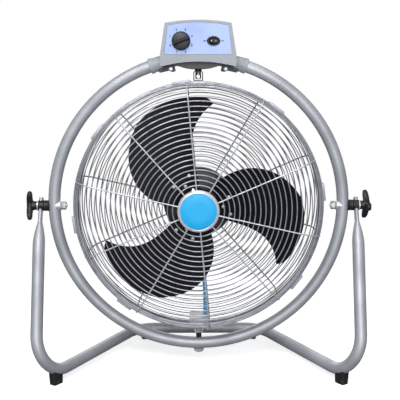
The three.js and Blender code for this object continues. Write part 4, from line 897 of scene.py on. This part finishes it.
# Motor lead: the motor's supply wires in a corrugated blue sleeve, down inside the cage,
# out between the wires through the notch of the bottom strap, and forward into the lower
# bracket.
lead_corners = [
    at(9, -45, -76.3),
    at(9, -45, -106),
    at(15, -40, -212),
    at(15, -40, -265.8),
    at(2, -8, -265.8),
]
sleeve_width, ridge_pitch = 9.5, 5
sleeve = Finish("blue_sleeve", Coat_Weight=0.3)
# The corrugation's ridges are bumped, and their crests are painted lighter: a painted highlight
# along each ridge.
ridge_and_crest_highlight = sleeve.along(2) * (2 * math.pi / ridge_pitch)
ridge_and_crest_highlight = ridge_and_crest_highlight.maths("SINE", ridge_and_crest_highlight) * 0.5 + 0.5
sleeve.tinted(ridge_and_crest_highlight, colour(4, 146, 228), colour(96, 212, 250), 0.5, -0.15)
sleeve.bump(ridge_and_crest_highlight, 0.6, 0.8)
lead_line = bent(lead_corners, [30, 30, 6], 8)
lead_sketch = line("lead_sleeve", lead_line)
lead = bent_tube.grow(lead_sketch, sleeve, Diameter=sleeve_width / 1000, Sides=20)
fit(lead, "head", "lead_blue", "motor_lead")

# Rotor: three pressed aluminium blades, each held by three rivets on an arm of the hub
# spider, which a nut clamps on the shaft. Blades and spider are painted a satin blue-black,
# the rivets and the nut are zinc-plated.
root, tip, sheet_thickness, rivet_plane = 44, 227, 2, 25
blade_phase = 3.2


def blade_point(radius, angle, out=0.0):
    """A point of the blade's surface: angle in degrees from its root line."""
    share = (radius - root) / (tip - root)
    pitch = 0.34 - 0.10 * share
    turn = math.radians(angle)
    forward = rivet_plane - 5 + 5 * math.cos(turn * 1.6) + pitch * radius * turn
    return at(radius * math.cos(turn), forward + out, radius * math.sin(turn))


def leading(share):
    return -26.8 - 49 * (share - 0.38) ** 2


def trailing(share):
    return 56.5 - 33 * share - 8 * share**2 - 21 * share**3


blade_paint = Finish("blade_paint", Specular_IOR_Level=0.22)
dusty = blade_paint.specks(30, 5).ramp(0.45, 0.8)
blade_paint.tinted(dusty, colour(11, 12, 20), colour(20, 21, 31), 0.5, 0.2, 0.5)
blade_paint.bump(blade_paint.specks(2.2, 2), 0.05, 0.35)
rivet_spots = [(68.4, -16.4), (51.7, -1.6), (66.6, 16.3)]


def turned(piece, degrees, place=pivot):
    """Turns a piece about the fan's axis, as seen from in front, and sets it in its place."""
    turn = Matrix.Rotation(-math.radians(degrees), 4, "Y")
    piece.data.transform(Matrix.Translation(place) @ turn @ Matrix.Translation(-pivot))
    return piece


rows, columns = 36, 28
for index in range(3):
    arm, points, faces = blade_phase + 120 * index, [], []
    for i in range(rows + 1):
        for j in range(columns + 1):
            v = j / columns
            share = i / rows * (1 - 0.075 * abs(2 * v - 1) ** 4)
            angle = leading(share) + (trailing(share) - leading(share)) * v
            points.append(blade_point(root + (tip - root) * share, angle))
    for i in range(rows):
        for j in range(columns):
            corner = i * (columns + 1) + j
            faces.append((corner, corner + 1, corner + columns + 2, corner + columns + 1))
    blade = new_piece(f"blade_{index + 1}_pressed", points, [], faces, blade_paint)
    wall = blade.modifiers.new("sheet", "SOLIDIFY")
    wall.thickness, wall.offset = sheet_thickness / 1000, 0
    blade = rounded(turned(blade, arm), 0.6, 2, 50)
    fit(blade, "rotor", "blade_black", f"blade_{index + 1}")
    heads = []
    for radius, angle in rivet_spots:
        centre = (blade_point(radius, angle, 0.8) - pivot) * 1000
        dome = [(0, 0), (4.1, 0), (3.9, 1), (3, 1.9), (1.6, 2.5), (0, 2.6)]
        place = (centre.x, -centre.y, centre.z)
        heads.append(lathe("rivet", dome, "Y", zinc, 20, place, sharp=60))
    rivets = turned(joined(f"blade_{index + 1}_rivets", heads), arm)
    fit(rivets, "rotor", "zinc")
refined("hub_spider", blade_paint, "rotor", "blade_black", 0.5, 40, 2)
refined("hub_nut", zinc, "rotor", "zinc", 0.6)

# Hub badge: a moulded rim with a lacquered bezel snapped through the middle of the front
# guard, with a satin sky-blue disc in it. A small hook holds it on the first ring.
badge_back, badge_front = 74.35, 79.35
bezel = Finish("badge_bezel", Metallic=0.35, Coat_Weight=0.3)
lacquer = bezel.specks(9, 3).ramp(0.4, 0.7)
bezel.tinted(lacquer, colour(226, 226, 231), colour(204, 205, 212), 0.24, 0.1)
bezel.bump(bezel.specks(0.8, 2), 0.02, 0.3)
rim_profile = [(0, 66.4), (36.5, 66.4), (36.5, 68.4), (12, 68.4), (12, badge_back)]
rim_profile += [(41.8, badge_back), (42.5, badge_back + 0.6), (42.5, badge_back + 1.8)]
rim_profile += [(42, badge_back + 2.8), (40.6, badge_back + 4), (38.6, badge_front - 0.2)]
rim_profile += [(38, badge_front), (37.3, badge_front - 0.4), (37.3, badge_back + 2)]
rim_profile += [(0, badge_back + 2)]
badge = lathe("badge_bezel_turned", rim_profile, "Y", bezel, 96)
hook_outline = [(-6, 39), (6, 39), (1.4, 48.6), (-1.4, 48.6)]
hook = prism("badge_hook", hook_outline, 71.5, 74.6, bezel, lambda a, u, f: at(a, f, u))
hook_turn = 13.7
hook = turned(rounded(hook, 0.8), hook_turn)
fit(joined("badge_rim_and_hook", [badge, hook]), "head", "badge_silver", "badge_rim")
disc_look = Finish("badge_disc", Coat_Weight=0.1, Coat_Roughness=0.3)
fade = disc_look.along(2).ramp(-40, 40)
satin = disc_look.specks(0.7, 2)
disc_tones = colour(24, 176, 238), colour(34, 172, 232)
disc_look.feed("Base Color", disc_look.blend(fade * 0.5, *disc_tones))
disc_look.feed("Roughness", 0.5 + 0.1 * satin)
disc_look.bump(satin, 0.02, 0.3)
disc_profile = [(0, badge_back + 2.3), (37, badge_back + 2.3), (37, badge_front - 1.4)]
disc_profile += [(36.4, badge_front - 0.9), (18, badge_front - 0.85), (0, badge_front - 0.8)]
disc = lathe("badge_disc_turned", disc_profile, "Y", disc_look, 96, sharp=40)
fit(disc, "head", "badge_blue", "badge_disc")

# Control box: two moulded half shells that close round the top of the ring, with collars
# along the tube, a dark cover below, and a clamp with a screw at each end.
box_plastic = moulded("box_plastic", colour(156, 160, 167), colour(146, 150, 157), 0.42, 1.1, 0.04)
cover_plastic = moulded("cover_plastic", colour(66, 66, 68), colour(80, 80, 82), 0.5, 1.1, 0.06)
refined("box_front_shell", box_plastic, "ring", "grey_plastic", 1.2, 40)
refined("box_rear_shell", box_plastic, "ring", "grey_plastic", 1.2, 40)
refined("bottom_cover", cover_plastic, "ring", "dark_plastic", 1.0, 40)
for side, sign in (("left", -1), ("right", 1)):
    refined(f"box_clamp_{side}", cover_plastic, "ring", "dark_plastic", 0.6)
    screw_reach, turn = 288.5, math.radians(11.2)
    place = (sign * screw_reach * math.sin(turn), 0, screw_reach * math.cos(turn))
    screw = [(0, 11), (4.9, 11.2), (4.9, 12.4), (4.2, 13.6), (2.6, 14.2), (1.6, 14.2)]
    screw += [(1.4, 13.2), (0, 13.2)]
    screw = lathe(f"box_screw_{side}", screw, "Y", zinc, 32, place)
    fit(screw, "ring", "zinc")
clad(cover_plastic, "speed_switch", "run_capacitor", "shaft_coupling")

# Face panel: a printed plate of light blue plastic in the recess of the front shell, with
# plain numbers round the dial and OFF and ON beside the rocker switch.
dial_across, rocker_across, control_level, panel_face = -34, 30.5, 337, 40
panel = Finish("face_panel", Coat_Weight=0.3, Coat_Roughness=0.2)
sheen = panel.specks(40, 3).ramp(0.35, 0.7)
panel.tinted(sheen, colour(158, 181, 239), colour(150, 172, 235), 0.3, 0.1)
panel.bump(panel.specks(0.9, 2), 0.02, 0.3)
refined("control_panel", panel, "ring", "panel_blue", 0.35)
ink = Finish("panel_ink")
ink_wear = ink.specks(2, 3).ramp(0.4, 0.8)
ink.tinted(ink_wear, colour(34, 40, 96), colour(52, 58, 112), 0.45, 0.1)
ink.bump(ink.specks(0.5, 1), 0.01, 0.3)


def printed(text, across, up, size, finish=ink, forward=panel_face + 0.06, lean=0.0):
    """A printed word or number that stands on a face."""
    letters = bpy.data.curves.new("print", "FONT")
    letters.body, letters.size, letters.extrude = text, size / 1000, 0.00006
    letters.align_x, letters.align_y = "CENTER", "CENTER"
    letters.offset = size * 0.00004
    letters.resolution_u = 3
    source = bpy.data.objects.new("print", letters)
    bpy.context.scene.collection.objects.link(source)
    mesh = made_mesh(source)
    bpy.data.objects.remove(source)
    upright = Matrix.Rotation(lean, 4, "Z") @ Matrix.Rotation(math.pi / 2, 4, "X")
    mesh.transform(Matrix.Translation(at(across, forward, up)) @ upright)
    piece = bpy.data.objects.new("print", mesh)
    bpy.context.scene.collection.objects.link(piece)
    mesh.materials.clear()
    mesh.materials.append(finish.material)
    return soften(piece)


prints = []
number_radius, number_start, number_step, word_reach = 23.2, 202.5, 45, 17.6
for number in range(8):
    turn = math.radians(number_start - number_step * number)
    across = dial_across + number_radius * math.cos(turn)
    up = control_level + number_radius * math.sin(turn)
    prints.append(printed(str(number), across, up, 6.2))
prints.append(printed("OFF", rocker_across - word_reach, control_level, 3.8))
prints.append(printed("ON", rocker_across + word_reach, control_level, 3.8))
fit(joined("panel_print", prints), "ring", "black_plastic")

# Dial: a moulded cap with a grip across it, both of black plastic, pushed on the shaft of the
# speed switch. The cap is painted dark grey as painted sheen, the grip as painted shade.
knob_profile = [(0, 24), (3.5, 24), (3.5, 40.3), (18, 40.3), (18.6, 40.9), (18.6, 43)]
knob_profile += [(18.2, 43.8), (17.4, 44.3), (16.4, 48.2), (15.8, 49.4), (14.6, 50), (0, 50)]
dial_grey = moulded("dial_grey", colour(38, 39, 43), colour(52, 53, 57), 0.45, 0.9, 0.04)
dial = lathe("dial_cap", knob_profile, "Y", dial_grey, 72, (dial_across, 0, control_level))
grip_outline = [(-16, -3.9), (16, -3.9), (17, -2.1), (17, 2.1)]
grip_outline += [(16, 3.9), (-16, 3.9), (-17, 2.1), (-17, -2.1)]
grip_foot, grip_top, grip_taper, grip_turn = 49, 55.2, 0.06, 20
# The grip's deeper black is painted shade of its shaded side.
dial_black = moulded("dial_black", colour(9, 9, 11), colour(19, 19, 22), 0.6, 0.9, 0.04)


def grip_point(across, up, forward):
    """The grip is narrower towards its top."""
    return at(across, forward, up * (1 - grip_taper * (forward - grip_foot)))


grip = prism("dial_grip", grip_outline, grip_foot, grip_top, dial_black, grip_point)
grip = turned(rounded(grip, 0.9), grip_turn, at(dial_across, 0, control_level))
fit(joined("speed_dial_knob", [dial, grip]), "speed_dial", "black_plastic", "speed_knob")

# Rocker switch: a black oval frame snapped into the panel, with a two-way key that tips
# about its upright middle and has a pale printed mark on each half.
lip = [(8.9, 30), (10.3, 30), (10.3, 40.3), (13, 40.3), (13.5, 40.8), (13.3, 41.8)]
lip += [(12.2, 42.4), (10, 42.4), (9.2, 41.8), (8.9, 40.6)]
rocker_place = (rocker_across, 0, control_level)
frame_lip = lathe("rocker_frame_moulded", lip, "Y", black, 64, rocker_place, 0.7)
fit(frame_lip, "ring", "black_plastic", "rocker_frame")
key = refined("rocker", black, "rocker_key", "black_plastic", 0.7)
bpy.context.view_layer.update()
mark_paint = Finish("key_marks")
mark_wear = mark_paint.specks(1.5, 3).ramp(0.4, 0.8)
mark_paint.tinted(mark_wear, colour(226, 228, 230), colour(190, 193, 197), 0.4, 0.15)
mark_paint.bump(mark_paint.specks(0.5, 1), 0.01, 0.3)
marks = []
for sign, mark in ((-1, "O"), (1, "I")):
    across = rocker_across + sign * 4.4
    eye = at(across, 90, control_level)
    spot, facing = key.ray_cast(eye, Vector((0, 1, 0)))[1:3]
    forward = (pivot.y - spot.y) * 1000 + 0.1
    lean = math.atan2(facing.x, -facing.y)
    marks.append(printed(mark, across, control_level, 3.6, mark_paint, forward, lean))
fit(joined("rocker_marks", marks), "rocker_key", "badge_silver")
